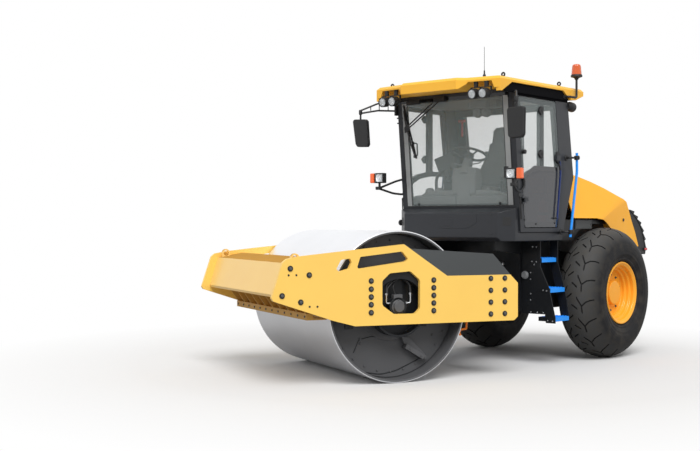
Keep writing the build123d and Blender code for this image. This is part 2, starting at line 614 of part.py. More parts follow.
for side, way in SIDES:
    with BuildPart() as door:
        faces = (way * DOOR_FACE, way * (DOOR_FACE - DOOR_THICKNESS))
        profile(REAR, DOOR_OUTLINE, faces, corner=DOOR_CORNER)
        for window in DOOR_WINDOWS:
            profile(REAR, window, faces, Mode.SUBTRACT, PANE_CORNER)
        # Outside the glass: two hinge knuckles and the handle.
        for z in HINGE_LEVELS:
            with BuildSketch(hinge_plane(way, z).offset(-KNUCKLE_LENGTH / 2)) as knuckle:
                Circle(15)
                with Locations((-45, way * -14)):
                    Rectangle(90, 12)
                Circle(HINGE_PIN + RUN_GAP, mode=Mode.SUBTRACT)
            extrude(knuckle.sketch, amount=KNUCKLE_LENGTH)
        block(REAR, (HANDLE[0] - 20, HANDLE[0] + 60), (way * CAB_HALF, way * (CAB_HALF + 45)),
              (HANDLE[1] - 30, HANDLE[1] + 30))
    door.part.label = f"door_{side}"
    export_step(door.part, f"parts/door_{side}.step")

    with BuildPart() as door_glass:
        profile(REAR, DOOR_OUTLINE, (way * (DOOR_FACE + GLASS), way * DOOR_FACE),
                corner=DOOR_CORNER)
    door_glass.part.label = f"door_glass_{side}"
    export_step(door_glass.part, f"parts/door_glass_{side}.step")

# Roof: a capped slab with a deep visor, a pocket for the lamps inside each front corner,
# and an upswept tail. Its sides are cut back over the cab's fascias.
ROOF_TOP = 3150
ROOF_FIT = 1             # clearance at each end of a fascia
EAVE = CAB_HALF + 45     # half the width over the roof
VISOR_HALF = CAB_HALF - 422
VISOR_FRONT = 782
VISOR_FLOOR = 3025
VISOR_REAR = 570
CORNER_INNER = CAB_HALF - 5
POCKET_TOP = 3100
POCKET = [  # (y, z) of a pocket's outline, seen from in front
    (VISOR_HALF + 12, VISOR_FLOOR - 1), (VISOR_HALF + 97, POCKET_TOP),
    (CAB_HALF - 55, POCKET_TOP), (CORNER_INNER, 2980),
]
ROOF_SIDE = [  # (x, z), from the visor's floor round by the tail
    (VISOR_REAR + 25, VISOR_FLOOR), (VISOR_FRONT, VISOR_FLOOR), (VISOR_FRONT, ROOF_TOP),
    (-1200, ROOF_TOP), (-1200, 3115), (-914, 3012), (-806, 3005), (-806, CAB_TOP),
    (VISOR_REAR, CAB_TOP),
]
with BuildPart() as roof:
    plan(REAR, both_sides([(-1200, EAVE - 125), (-1080, EAVE), (640, EAVE),
                           (700, VISOR_HALF + 72), (VISOR_FRONT, VISOR_HALF)]),
         (3000, ROOF_TOP))
    chamfer(roof.faces().sort_by(Axis.Z)[-1].edges(), 30)
    profile(REAR, ROOF_SIDE, (EAVE + 5, -EAVE - 5), Mode.INTERSECT)
    for side, way in SIDES:
        profile(REAR, [(412, 3101), (605, 2990), (640, 2990), (640, 3101)],
                (way * EAVE, way * CORNER_INNER))
        profile(REAR, [(x + copysign(ROOF_FIT, x), z) for x, z in FASCIA_OUTLINE],
                (way * (EAVE + 5), way * (CAB_HALF - 1)), Mode.SUBTRACT)
        cross_section(REAR, [(way * y, z) for y, z in POCKET], (VISOR_REAR - 10, 800),
                      Mode.SUBTRACT)
roof.part.label = "roof"
export_step(roof.part, "parts/roof.step")

# Work lamps: four round ones under the visor's corners, one on each rear pillar.
LAMP_RADIUS = 46
REAR_LAMP_RADIUS = 52
with BuildPart() as work_lamps:
    for side, way in SIDES:
        for y in (CAB_HALF - 253, CAB_HALF - 118):
            disc(across(REAR, 655, way * y, 2973), LAMP_RADIUS, 72)
            block(REAR, (632, 656), (way * y - 14, way * y + 14), (2973, POCKET_TOP))
        disc(across(REAR, cab_back(2940) - 90, way * (CAB_HALF - 10), 2940),
             REAR_LAMP_RADIUS, 62)
        profile(REAR, [(cab_back(2925) - 40, 2925), (cab_back(2925), 2925),
                       (cab_back(2955), 2955), (cab_back(2925) - 40, 2955)],
                (way * CAB_HALF, way * (CAB_HALF - 20)))
work_lamps.part.label = "work_lamps"
export_step(work_lamps.part, "parts/work_lamps.step")

# Side lamps: boxed headlamp and marker on a bent bar, off the cab base's corners.
SIDE_LAMP_HALF = 118
with BuildPart() as side_lamps:
    for side, way in SIDES:
        middle = way * (CAB_HALF + 120)
        block(REAR, (470, 540), (middle - SIDE_LAMP_HALF, middle + SIDE_LAMP_HALF),
              (2055, 2180))
        tube(REAR, [(185, way * CAB_HALF, 1925), (185, way * (CAB_HALF + 60), 1925),
                    (505, middle, 1960), (505, middle, 2056)], 30, 11)
side_lamps.part.label = "side_lamps"
export_step(side_lamps.part, "parts/side_lamps.step")

# Mirrors: a tall head on a bent arm from the roof rail's front corner.
with BuildPart() as mirrors:
    for side, way in SIDES:
        block(REAR, (635, 700), (way * (MIRROR_REACH - 206), way * MIRROR_REACH), (2478, 2798))
        middle = way * (MIRROR_REACH - 104)
        tube(REAR, [(340, way * FASCIA_FACE, 3022), (340, way * (FASCIA_FACE + 84), 3022),
                    (668, middle, 2990), (668, middle, 2797)], 35, 11)
mirrors.part.label = "mirrors"
export_step(mirrors.part, "parts/mirrors.step")

# Beacon: a flashing lamp on a bent bar at the left rear corner; the aerial on the roof.
BEACON_X = -855
BEACON_Y = EAVE + 40
BEACON_FOOT = (-690, 3032)      # (x, z) of its bar on the fascia
BEACON_Z = 3265
with BuildPart() as beacon:
    tube(REAR, [(BEACON_FOOT[0], FASCIA_FACE, BEACON_FOOT[1]),
                (BEACON_FOOT[0], BEACON_Y, BEACON_FOOT[1]),
                (BEACON_X, BEACON_Y, BEACON_FOOT[1]), (BEACON_X, BEACON_Y, BEACON_Z + 10)],
         26, 13)
    disc(flat(REAR, BEACON_X, BEACON_Y, BEACON_Z), 66, 32)
    disc(flat(REAR, BEACON_X, BEACON_Y, BEACON_Z + 31), 58, 123)
beacon.part.label = "beacon"
export_step(beacon.part, "parts/beacon.step")

AERIAL_PLACE = (560, 590)
with BuildPart() as aerial:
    disc(flat(REAR, *AERIAL_PLACE, ROOF_TOP), 18, 30)
    disc(flat(REAR, *AERIAL_PLACE, ROOF_TOP + 29), 4, 300)
aerial.part.label = "aerial"
export_step(aerial.part, "parts/aerial.step")

# Wiper: motor cover at the screen's head, two arms and the blade.
with BuildPart() as wiper:
    block(REAR, (screen_x(CAB_TOP) + 2, screen_x(CAB_TOP) + 65), (-230, -90), (3015, CAB_TOP))
    for y in (-190, -150):
        tube(REAR, [(screen_x(3020) + 45, y, 3030), (screen_x(2900) + 40, y - 260, 2900),
                    (screen_x(2784) + 30, y - 480, 2784)], 20, 7)
    tube(REAR, [(screen_x(2930) + 22, -SCREEN_HALF + 30, 2930), (screen_x(2700) + 22, -660, 2700),
                (screen_x(2400) + 22, -610, 2400)], 20, 11)
wiper.part.label = "wiper"
export_step(wiper.part, "parts/wiper.step")

# Grab rails: one behind each rear pillar, one inside each doorway's rear edge.
with BuildPart() as grab_rails:
    for side, way in SIDES:
        out = way * (CAB_HALF + 95)
        tube(REAR, [(-760, way * CAB_HALF, 2335), (-760, out, 2335), (-845, out, 2335),
                    (-845, out, 2180), (-700, out, 1475), (-700, way * BASE_HALF, 1475)],
             30, 14)
grab_rails.part.label = "grab_rails"
export_step(grab_rails.part, "parts/grab_rails.step")

# ================================================================== INSIDE THE CAB
SEAT_X = -330
with BuildPart() as seat_base:
    block(REAR, (SEAT_X - 210, SEAT_X + 190), (-200, 200), (CAB_FLOOR, 1880))
    block(REAR, (SEAT_X - 300, SEAT_X - 240), (-120, 120), (1880, 2300))
    block(REAR, (SEAT_X - 300, SEAT_X - 209), (-120, 120), (1840, 1880))
    for way in (1, -1):
        block(REAR, (SEAT_X - 180, SEAT_X + 160), (way * 300, way * 460), (CAB_FLOOR, 2080))
seat_base.part.label = "seat_base"
export_step(seat_base.part, "parts/seat_base.step")

with BuildPart() as seat_cushion:
    block(REAR, (SEAT_X - 210, SEAT_X + 270), (-245, 245), (1880.3, 2010))
    fillet(seat_cushion.edges().filter_by(Axis.Z), 60)
seat_cushion.part.label = "seat_cushion"
export_step(seat_cushion.part, "parts/seat_cushion.step")

with BuildPart() as seat_back:
    profile(REAR, [(SEAT_X - 239.7, 2012), (SEAT_X - 130, 2012), (SEAT_X - 170, 2560),
                   (SEAT_X - 210, 2740), (SEAT_X - 280, 2740), (SEAT_X - 280, 2540),
                   (SEAT_X - 239.7, 2310)], (230, -230))
seat_back.part.label = "seat_back"
export_step(seat_back.part, "parts/seat_back.step")

WHEEL_CENTRE = (0, 0, 2385)
with BuildPart() as steering_column:
    profile(REAR, [(10, CAB_FLOOR), (95, CAB_FLOOR), (90, 2080), (30, 2290), (-20, 2290),
                   (-20, 2080)], (90, -90))
    wheel_plane = Plane((REAR.location * Location(WHEEL_CENTRE)).position,
                        x_dir=(0, 1, 0), z_dir=(-0.35, 0, 1))
    disc(wheel_plane.offset(-100), 28, 100)
    disc(wheel_plane.offset(-10), 70, 20)
    with BuildSketch(wheel_plane.offset(-8)) as spokes:
        Rectangle(400, 36)
    extrude(spokes.sketch, amount=16)
    with BuildSketch(wheel_plane) as path_plane:
        Circle(210)
        Circle(182, mode=Mode.SUBTRACT)
    extrude(path_plane.sketch, amount=13, both=True)
steering_column.part.label = "steering_column"
export_step(steering_column.part, "parts/steering_column.step")

DASH_OUTLINE = [
    (screen_x(1780, FRONT_WALL + 1), 1780), (screen_x(1905, FRONT_WALL + 1), 1905),
    (60, 1925), (10, 1890), (10, 1780),
]
dash_end = CAB_HALF - SIDE_WALL - 40
with BuildPart() as dashboard:
    profile(REAR, DASH_OUTLINE, (-95, -dash_end))
    profile(REAR, DASH_OUTLINE, (dash_end, 95))
    block(REAR, (-60, 0), (-610, -400), (2200, 2380))
    block(REAR, (-40, 40), (-520, -480), (1910, 2230))
dashboard.part.label = "dashboard"
export_step(dashboard.part, "parts/dashboard.step")

# ================================================================== HOOD
HOOD_FRONT = -955
HOOD_TOP = [(HOOD_FRONT, 2200), (-1265, 2175), (-1620, 2102), (-1920, 2024), (-2190, 1938),
            (-2430, 1866)]      # (x, z) along the middle
HOOD_TAIL = [(-2595, 1620), (-2700, 1482), (-2812, 1292), (-2880, 1215)]
HOOD_ARCH = [(-2335, 1215), (-2285, 1270), (-2160, 1400), (-2000, 1495), (-1860, 1547),
             (-1743, 1605), (-1644, 1640), (-1482, 1657), (HOOD_FRONT, 1657)]
HOOD_SECTION = [(820, 1300), (800, 1655), (610, 2150), (560, 2200)]  # (half width, z)
HOOD_TAPER = [(HOOD_FRONT + 5, 820), (-1500, 820), (-2430, 690), (-2950, 650)]  # (x, y)


def hood_solid(wall):
    """The hood's outer form, or the space inside a wall of the given thickness."""
    with BuildPart() as form:
        with BuildSketch(across(REAR, HOOD_FRONT + 1)) as section:
            Polygon(*both_sides_up(HOOD_SECTION, wall), align=None)
        extrude(section.sketch, amount=-2000)
        with BuildSketch(upright(REAR)) as outline:
            Polygon(*inset_side(wall), align=None)
        extrude(outline.sketch, amount=1000, both=True, mode=Mode.INTERSECT)
        plan(REAR, both_sides([(x + 2 * wall, y - wall) for x, y in HOOD_TAPER]),
             (1100, 2300), Mode.INTERSECT)
    return form.part


def both_sides_up(points, wall):
    """A cross-section from its right half, drawn in by the wall."""
    half = [(y - wall, z - wall if z > 2100 else z) for y, z in points]
    return half + [(-y, z) for y, z in reversed(half)]


def inset_side(wall):
    """The side outline drawn in at its top and both ends, and let through below."""
    if not wall:
        return HOOD_TOP + HOOD_TAIL + HOOD_ARCH
    slack = 1.3 * wall
    top = [(x, z - wall) for x, z in HOOD_TOP]
    top[0] = (HOOD_FRONT + 5, HOOD_TOP[0][1] - wall)
    top[-1] = (HOOD_TOP[-1][0] + slack, HOOD_TOP[-1][1] - wall)
    tail = [(x + slack, z) for x, z in HOOD_TAIL]
    lower = [(x, z - 40) for x, z in HOOD_ARCH]
    lower[-1] = (HOOD_FRONT + 5, HOOD_ARCH[-1][1] - 40)
    return top + tail + [(HOOD_TAIL[-1][0] + slack, lower[0][1])] + lower


with BuildPart() as hood:
    add(hood_solid(0))
    add(hood_solid(HOOD_WALL), mode=Mode.SUBTRACT)
    for side, way in SIDES:
        lug = upright(REAR, HOOD_HINGE[0], way * (HOOD_POST_Y[1] + 1), HOOD_HINGE[1])
        disc(lug, 17.5, -way * HOOD_LUG)
        disc(lug, HOOD_PIN + RUN_GAP, -way * HOOD_LUG, Mode.SUBTRACT)
hood.part.label = "hood"
export_step(hood.part, "parts/hood.step")

# Rear grille: a stepped, louvred tail that lifts with the hood.
GRILLE_HALF = 640
GRILLE_WALL = 12
GRILLE_OUTLINE = [
    *HOOD_TAIL, (-2900, GRILLE_FOOT), (-3040, GRILLE_FOOT), (-3060, 1262), (-2985, 1446),
    (-2890, 1585), (-2757, 1690), (-2600, 1770), HOOD_TOP[-1],
]
with BuildPart() as rear_grille:
    profile(REAR, GRILLE_OUTLINE, (GRILLE_HALF, -GRILLE_HALF))
    with BuildSketch(upright(REAR, y=GRILLE_HALF - GRILLE_WALL)) as space:
        Polygon(*GRILLE_OUTLINE, align=None)
        offset(amount=-GRILLE_WALL, kind=Kind.INTERSECTION)
    extrude(amount=2 * (GRILLE_HALF - GRILLE_WALL), mode=Mode.SUBTRACT)
rear_grille.part.label = "rear_grille"
export_step(rear_grille.part, "parts/rear_grille.step")

# ================================================================== WHEELS
TYRE_HALF_SECTION = [  # (distance across from the tyre's middle, radius), outer skin
    (215, RIM_RADIUS), (215, RIM_RADIUS + 35), (248, RIM_RADIUS + 69), (270, 460),
    (TYRE_WIDTH / 2, 520), (266, 580), (244, 640), (208, 693), (160, 735), (100, 762),
    (45, TYRE_RADIUS),
]
TYRE_HALF_HOLLOW = [  # and inner skin
    (170, RIM_RADIUS - 5), (180, RIM_RADIUS + 45), (214, RIM_RADIUS + 88), (228, 520),
    (218, 580), (198, 632), (165, 675), (118, 705), (60, 718),
]


def ring_of(half):
    """A closed section from its outboard half."""
    return half + [(-offset, radius) for offset, radius in reversed(half)]


RIM_SECTION = [
    (-236, RIM_RADIUS - 35), (-236, RIM_RADIUS + 31), (-215 - SEAT_GAP, RIM_RADIUS + 31),
    (-215 - SEAT_GAP, RIM_RADIUS - SEAT_GAP), (215 + SEAT_GAP, RIM_RADIUS - SEAT_GAP),
    (215 + SEAT_GAP, RIM_RADIUS + 31), (236, RIM_RADIUS + 31), (236, RIM_RADIUS - 35),
]
for side, way in SIDES:
    hub = Plane(upright(REAR, -AXLE_REACH, way * TYRE_CENTRE, AXLE_Z).location)
    spin = Axis(hub.origin, hub.z_dir)
    section_plane = Plane(hub.origin, x_dir=hub.z_dir, z_dir=(-1, 0, 0))
    with BuildPart() as tyre:
        with BuildSketch(section_plane) as carcass:
            Polygon(*ring_of(TYRE_HALF_SECTION), align=None)
            Polygon(*ring_of(TYRE_HALF_HOLLOW), align=None, mode=Mode.SUBTRACT)
        revolve(carcass.sketch, axis=spin)
    tyre.part.label = f"tyre_{side}"
    export_step(tyre.part, f"parts/tyre_{side}.step")

    with BuildPart() as rim:
        with BuildSketch(section_plane) as barrel:
            Polygon(*RIM_SECTION, align=None)
        revolve(barrel.sketch, axis=spin)
        face = upright(REAR, -AXLE_REACH, way * DISC_FACE_Y, AXLE_Z)
        disc(face, RIM_RADIUS - 34, -way * 25)
        disc(face, 150, -way * 60)
        disc(upright(REAR, -AXLE_REACH, way * (DISC_FACE_Y - 10), AXLE_Z),
             SPINDLE_RADIUS + RUN_GAP, -way * 72, Mode.SUBTRACT)
    rim.part.label = f"rim_{side}"
    export_step(rim.part, f"parts/rim_{side}.step")

# ================================================================== STEERING CYLINDERS
BARREL_RADIUS = 50
ROD_RADIUS = 25
BARREL_NOSE = 500        # barrel's open end from its foot pin
for side, way in SIDES:
    foot = Vector(CYLINDER_FOOT_X, way * CYLINDER_FOOT_Y, CYLINDER_Z)
    eye_place = FRONT.location * Location((ROD_EYE_X, way * ROD_EYE_Y, CYLINDER_Z))
    eye = REAR.location.inverse() * eye_place
    reach = eye.position - foot
    aim = degrees(atan2(reach.Y, reach.X))
    CYLINDER = Plane(REAR.location * Location(foot, (0, 0, aim)))
    with BuildPart() as cylinder_barrel:
        disc(flat(CYLINDER, z=-BARREL_EYE_HALF), 45, 2 * BARREL_EYE_HALF)
        block(CYLINDER, (0, 56), (-BARREL_EYE_HALF, BARREL_EYE_HALF),
              (-BARREL_EYE_HALF, BARREL_EYE_HALF))
        disc(across(CYLINDER, x=55), BARREL_RADIUS, BARREL_NOSE - 55)
        disc(flat(CYLINDER, z=-60), PIN_RADIUS + RUN_GAP, 120, Mode.SUBTRACT)
        disc(across(CYLINDER, x=70), ROD_RADIUS + RUN_GAP, BARREL_NOSE, Mode.SUBTRACT)
    cylinder_barrel.part.label = f"cylinder_barrel_{side}"
    export_step(cylinder_barrel.part, f"parts/cylinder_barrel_{side}.step")

    with BuildPart() as cylinder_rod:
        disc(flat(CYLINDER, x=reach.length, z=-ROD_EYE_HALF), 42, 2 * ROD_EYE_HALF)
        disc(across(CYLINDER, x=reach.length - 590), ROD_RADIUS, 560)
        disc(flat(CYLINDER, x=reach.length, z=-60), PIN_RADIUS, 120, Mode.SUBTRACT)
    cylinder_rod.part.label = f"cylinder_rod_{side}"
    export_step(cylinder_rod.part, f"parts/cylinder_rod_{side}.step")
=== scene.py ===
# %% [markdown]
# # A single-drum soil roller
# The machine was drawn to real sizes in CAD, and this notebook dresses it for the
# camera. The packed CAD model is loaded first and never moved: it says where every
# part is, which body it rides on and which joint turns it. Everything made below
# either softens one of those parts, replaces it with a richer one, or is bolted on.

# %% Load the packed frame
import bpy, bmesh, json
from math import atan2, cos, hypot, pi, radians, sin, tau
from mathutils import Matrix, Vector


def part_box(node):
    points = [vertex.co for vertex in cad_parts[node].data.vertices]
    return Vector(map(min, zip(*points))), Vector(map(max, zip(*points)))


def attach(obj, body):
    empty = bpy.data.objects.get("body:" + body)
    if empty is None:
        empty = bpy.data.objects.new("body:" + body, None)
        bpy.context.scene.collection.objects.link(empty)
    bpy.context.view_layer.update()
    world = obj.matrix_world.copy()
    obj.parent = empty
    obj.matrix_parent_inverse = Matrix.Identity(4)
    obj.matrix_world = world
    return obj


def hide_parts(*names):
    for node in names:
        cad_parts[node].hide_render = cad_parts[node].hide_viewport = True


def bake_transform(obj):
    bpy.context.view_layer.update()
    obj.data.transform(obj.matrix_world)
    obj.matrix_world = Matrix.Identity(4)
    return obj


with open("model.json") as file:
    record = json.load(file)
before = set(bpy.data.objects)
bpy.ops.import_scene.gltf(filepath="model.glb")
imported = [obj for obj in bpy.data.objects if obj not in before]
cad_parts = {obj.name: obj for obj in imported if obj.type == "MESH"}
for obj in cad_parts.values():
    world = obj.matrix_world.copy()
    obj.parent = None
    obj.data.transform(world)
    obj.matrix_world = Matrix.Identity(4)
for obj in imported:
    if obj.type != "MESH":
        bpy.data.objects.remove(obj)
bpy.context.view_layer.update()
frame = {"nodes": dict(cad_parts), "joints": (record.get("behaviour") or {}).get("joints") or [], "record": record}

# %% [markdown]
# ## Two halves, two sets of directions
# A roller of this kind steers by bending in the middle. It is easiest to model each
# half straight, with x forward, y to the left and z up from the ground under the
# hinge, and to turn the finished mesh into place. The hinge's place and the angle at
# which the front half is parked are read from the frame's own joints.

# %% Find the hinge and the parked angle
joints = {joint["name"]: joint for joint in frame["joints"]}
HINGE = Vector(joints["steering"]["pos_m"])
drum_axis = joints["drum_spin"]["axis"]
PARKED = atan2(drum_axis[0], drum_axis[1])
REAR = Matrix.Translation((HINGE.x, HINGE.y, 0))
FRONT = REAR @ Matrix.Rotation(-PARKED, 4, "Z")
SIDES = (("left", 1), ("right", -1))
WAYS = (1, -1)
print(f"front half parked {PARKED * 180 / pi:.1f} degrees to the right")

# %% [markdown]
# ## Camera
# A long lens from low down keeps the machine's uprights nearly parallel. The camera
# stands ahead and to the left, at about the height of a person's eyes.

# %% Place the camera
LENS, SENSOR_WIDTH, FAR_CLIP = 57.43, 36, 400   # millimetres, millimetres, metres
CAMERA_PLACE = (10.434, 7.916, 1.589)
CAMERA_PITCH, CAMERA_TURN = radians(89.92), radians(131.48)
camera = bpy.data.objects.new("camera", bpy.data.cameras.new("camera"))
bpy.context.scene.collection.objects.link(camera)
bpy.context.scene.camera = camera
camera.data.lens = LENS
camera.data.sensor_width = SENSOR_WIDTH
camera.data.clip_end = FAR_CLIP
camera.location = CAMERA_PLACE
camera.rotation_euler = (CAMERA_PITCH, 0, CAMERA_TURN)
print(f"camera {Vector(CAMERA_PLACE).length:.1f} m from the machine, {LENS} mm lens")

# %% [markdown]
# ## Light
# A product picture wants even light and soft shadows. A white sky does most of the
# work, and one broad sun from ahead and above gives the surfaces some form. The sky
# looks fully white to the camera and in reflections, but lights the object less, so
# that colours come out as they are written.

# %% White sky and one soft sun
SKY_LIGHT, SUN_LIGHT = 0.66, 2.35
SUN_SPREAD, SUN_DIRECTION = radians(35), Vector((-0.55, -0.6, -0.95))
world = bpy.data.worlds.new("studio")
bpy.context.scene.world = world
world.use_nodes = True
sky = world.node_tree
background = sky.nodes["Background"]
background.inputs["Color"].default_value = (1, 1, 1, 1)
rays = sky.nodes.new("ShaderNodeLightPath")
seen = rays.outputs["Is Camera Ray"]
for other in ("Is Glossy Ray", "Is Transmission Ray"):
    either = sky.nodes.new("ShaderNodeMath")
    either.operation = "MAXIMUM"
    sky.links.new(seen, either.inputs[0])
    sky.links.new(rays.outputs[other], either.inputs[1])
    seen = either.outputs[0]
strength = sky.nodes.new("ShaderNodeMapRange")
strength.inputs["To Min"].default_value = SKY_LIGHT
strength.inputs["To Max"].default_value = 1.0
sky.links.new(seen, strength.inputs["Value"])
sky.links.new(strength.outputs["Result"], background.inputs["Strength"])

sun = bpy.data.objects.new("sun", bpy.data.lights.new("sun", "SUN"))
bpy.context.scene.collection.objects.link(sun)
sun.data.energy = SUN_LIGHT
sun.data.angle = SUN_SPREAD
sun.rotation_euler = SUN_DIRECTION.to_track_quat("-Z", "Y").to_euler()
bpy.context.scene.view_settings.view_transform = "Standard"
print(f"sun {SUN_LIGHT}, sky {SKY_LIGHT} on surfaces and 1.0 to the camera")

# %% [markdown]
# ## A small language for materials
# Node trees are quick to draw by hand and slow to write in code. A small class helps:
# `Wire` wraps one output socket, so that ordinary sums in Python add Math nodes.

# %% Wires
class Wire:
    """One output socket, which can be added, subtracted and multiplied."""

    def __init__(self, tree, socket):
        self.tree, self.socket = tree, socket

    def maths(self, operation, *values, clamp=False):
        node = self.tree.nodes.new("ShaderNodeMath")
        node.operation, node.use_clamp = operation, clamp
        for slot, value in zip(node.inputs, values):
            if isinstance(value, Wire):
                self.tree.links.new(value.socket, slot)
            else:
                slot.default_value = value
        return Wire(self.tree, node.outputs[0])

    def __add__(self, other): return self.maths("ADD", self, other)
    def __radd__(self, other): return self.maths("ADD", other, self)
    def __sub__(self, other): return self.maths("SUBTRACT", self, other)
    def __rsub__(self, other): return self.maths("SUBTRACT", other, self)
    def __mul__(self, other): return self.maths("MULTIPLY", self, other)
    def __rmul__(self, other): return self.maths("MULTIPLY", other, self)

    def of(self, operation):
        """A Math node that takes only this value, such as SQRT or SINE."""
        return self.maths(operation, self)

    def smooth(self, low, high):
        """0 below low, 1 above high, with a soft ramp between."""
        return self.maths("DIVIDE", self - low, high - low, clamp=True)


print(Wire.__name__, "knows", ", ".join(name for name in vars(Wire) if name[0] != "_"))

# %% [markdown]
# A material is then one `Finish`. Its `set` method fills a socket of the shader with a
# constant or a wire, `node` makes any node from its settings and values, and a few
# more methods make the nodes that almost every finish needs.

# %% Finishes
class Finish:
    """A material and the nodes that make it."""

    def __init__(self, name, **settings):
        self.material = bpy.data.materials.new(name)
        self.material.use_nodes = True
        self.tree = self.material.node_tree
        self.shader = self.tree.nodes["Principled BSDF"]
        for socket, value in settings.items():
            self.set(socket.replace("_", " ").title().replace("Ior", "IOR"), value)

    def set(self, socket, value):
        target = self.shader.inputs[socket]
        if isinstance(value, Wire):
            self.tree.links.new(value.socket, target)
        else:
            target.default_value = (*value, 1) if isinstance(value, tuple) else value

    def node(self, kind, values=(), out=0, **settings):
        node = self.tree.nodes.new("ShaderNode" + kind)
        for setting, value in settings.items():
            setattr(node, setting, value)
        for socket, value in dict(values).items():
            if isinstance(value, Wire):
                self.tree.links.new(value.socket, node.inputs[socket])
            else:
                node.inputs[socket].default_value = value
        return Wire(self.tree, node.outputs[out])

    def places(self, frame_matrix=None):
        """Where each point is on the object, or along one half's own directions."""
        here = self.node("TexCoord", out="Object")
        if frame_matrix is None:
            return here
        back = frame_matrix.inverted()
        return self.node("Mapping", {"Vector": here, "Location": back.translation,
                                     "Rotation": back.to_euler()})

    def split(self, vector):
        node = self.tree.nodes.new("ShaderNodeSeparateXYZ")
        self.tree.links.new(vector.socket, node.inputs[0])
        return [Wire(self.tree, out) for out in node.outputs]

    def noise(self, scale, detail=2, vector=None):
        return self.node("TexNoise", {"Vector": vector or self.places(), "Scale": scale,
                                      "Detail": detail})

    def blend(self, factor, first, second):
        """A colour between two colours."""
        mix = self.tree.nodes.new("ShaderNodeMix")
        mix.data_type = "RGBA"
        for slot, value in ((0, factor), (6, first), (7, second)):
            if isinstance(value, Wire):
                self.tree.links.new(value.socket, mix.inputs[slot])
            else:
                mix.inputs[slot].default_value = (*value, 1) if slot else value
        return Wire(self.tree, mix.outputs[2])

    def relief(self, height, depth):
        """Raises the surface by up to depth metres where height is 1."""
        self.set("Normal", self.node("Bump", {"Height": height, "Distance": depth}))


def shade(colour, factor):
    """A colour made darker or lighter by a plain factor."""
    return tuple(min(1.0, part * factor) for part in colour)


print(Finish.__name__, "knows", ", ".join(name for name in vars(Finish) if name[0] != "_"))

# %% [markdown]
# ## Paint
# Machine paint is a thick, glossy coat sprayed over steel plate. Close to, it has a
# faint orange peel, a slow drift in shade where the gun overlapped, and a little more
# haze on some patches than on others. All three are noise at different scales, and
# together they stop a big flat plate from looking like plastic.

# %% Painted and moulded finishes
DRIFT_SCALE, HAZE_SCALE = 2.3, 11          # noise cells to the metre
PEEL_SCALE, PEEL_DEPTH = 420, 0.00012      # orange peel, and its depth in metres
GRAIN_DEPTH = 0.0002                       # moulded plastic's spark-eroded grain


def painted(name, colour, rough=0.34, coat=0.12, drift=0.05, shine=0.3):
    """Sprayed paint, whose shade drifts and whose haze varies a little."""
    paint = Finish(name, specular_ior_level=shine)
    paint.set("Coat Weight", coat)
    paint.set("Coat Roughness", 0.08)
    cloud = paint.noise(DRIFT_SCALE, 3)
    paint.set("Base Color", paint.blend(cloud, shade(colour, 1 - drift), shade(colour, 1 + drift)))
    paint.set("Roughness", rough - 0.05 + 0.1 * paint.noise(HAZE_SCALE, 4))
    paint.relief(paint.noise(PEEL_SCALE, 1), PEEL_DEPTH)
    return paint.material


def moulded(name, colour, rough=0.55, grain=900):
    """Plastic or rubber from a mould, with a fine even grain."""
    plastic = Finish(name)
    patches = plastic.noise(5, 2)
    plastic.set("Base Color", plastic.blend(patches, shade(colour, 0.9), shade(colour, 1.1)))
    plastic.set("Roughness", rough - 0.06 + 0.12 * plastic.noise(24, 3))
    plastic.relief(plastic.noise(grain, 1), GRAIN_DEPTH)
    return plastic.material


# The numbers after a colour are roughness, coat, drift in shade and mirror strength.
plate_paint = painted("plate_paint", (1.0, 0.62, 0.135))
hood_paint = painted("hood_paint", (1.0, 0.45, 0.030), 0.45, 0.04, shine=0.15)
roof_paint = painted("roof_paint", (1.0, 0.51, 0.055), 0.42, 0.06, shine=0.2)
rim_paint = painted("rim_paint", (0.96, 0.41, 0.030))
cab_paint = painted("cab_paint", (0.026, 0.028, 0.033), 0.38, 0.08)
band_paint = painted("band_paint", (0.066, 0.071, 0.073), 0.40, 0.08)
# painted light: the machine yellow made paler for the beam's lit front faces
lit_beam_paint = painted("lit_beam_paint", (1.0, 0.64, 0.20))
# painted shade: a duller, browner copy of the beam's yellow for its top slope
shaded_top_paint = painted("shaded_top_paint", (0.50, 0.26, 0.055), 0.85, 0.0, 0.16, 0.02)
# painted shade: the machine yellow made darker and browner for the scrapers under the beam
shaded_scraper_paint = painted("shaded_scraper_paint", (0.55, 0.31, 0.070), 0.55, 0.02, 0.18)
fascia_black = painted("fascia_black", (0.005, 0.005, 0.006), 0.75, 0.0, shine=0.04)
frame_paint = painted("frame_paint", (0.010, 0.011, 0.013), 0.42, 0.08)
disc_paint = painted("disc_paint", (0.098, 0.099, 0.104), 0.45, 0.05)
step_blue = painted("step_blue", (0.020, 0.31, 1.0), 0.34)
black_plastic = moulded("black_plastic", (0.012, 0.012, 0.013))
engine_paint = painted("engine_paint", (0.085, 0.088, 0.092), 0.5, 0.05, 0.12)
grey_plastic = moulded("grey_plastic", (0.05, 0.052, 0.055))
print(len(bpy.data.materials), "paints and plastics")

# %% [markdown]
# ## Glass
# Cab glass is thin, faintly green and mostly seen through. A real refracting glass
# shader would hold back the light from the cabin, so the panes are given a low alpha
# and a sharp gloss instead. The left door's lower pane carries a dark film. A lamp's
# lens is ribbed, and its ribs show both in its colour and in its relief.

# %% Clear and tinted glass
def glazing(name, colour, alpha):
    """A flat pane that lets through all but alpha of the light."""
    pane = Finish(name, alpha=alpha)
    pane.set("Base Color", colour)
    pane.set("Specular IOR Level", 0.9)
    streaks = pane.noise(1.6, 2)
    pane.set("Roughness", 0.02 + 0.03 * streaks)
    return pane.material


clear_glass = glazing("clear_glass", (0.52, 0.60, 0.585), 0.17)
tinted_glass = glazing("tinted_glass", (0.055, 0.058, 0.066), 0.76)
RIB_SCALE, RIB_DEPTH = 55.0, 0.0006


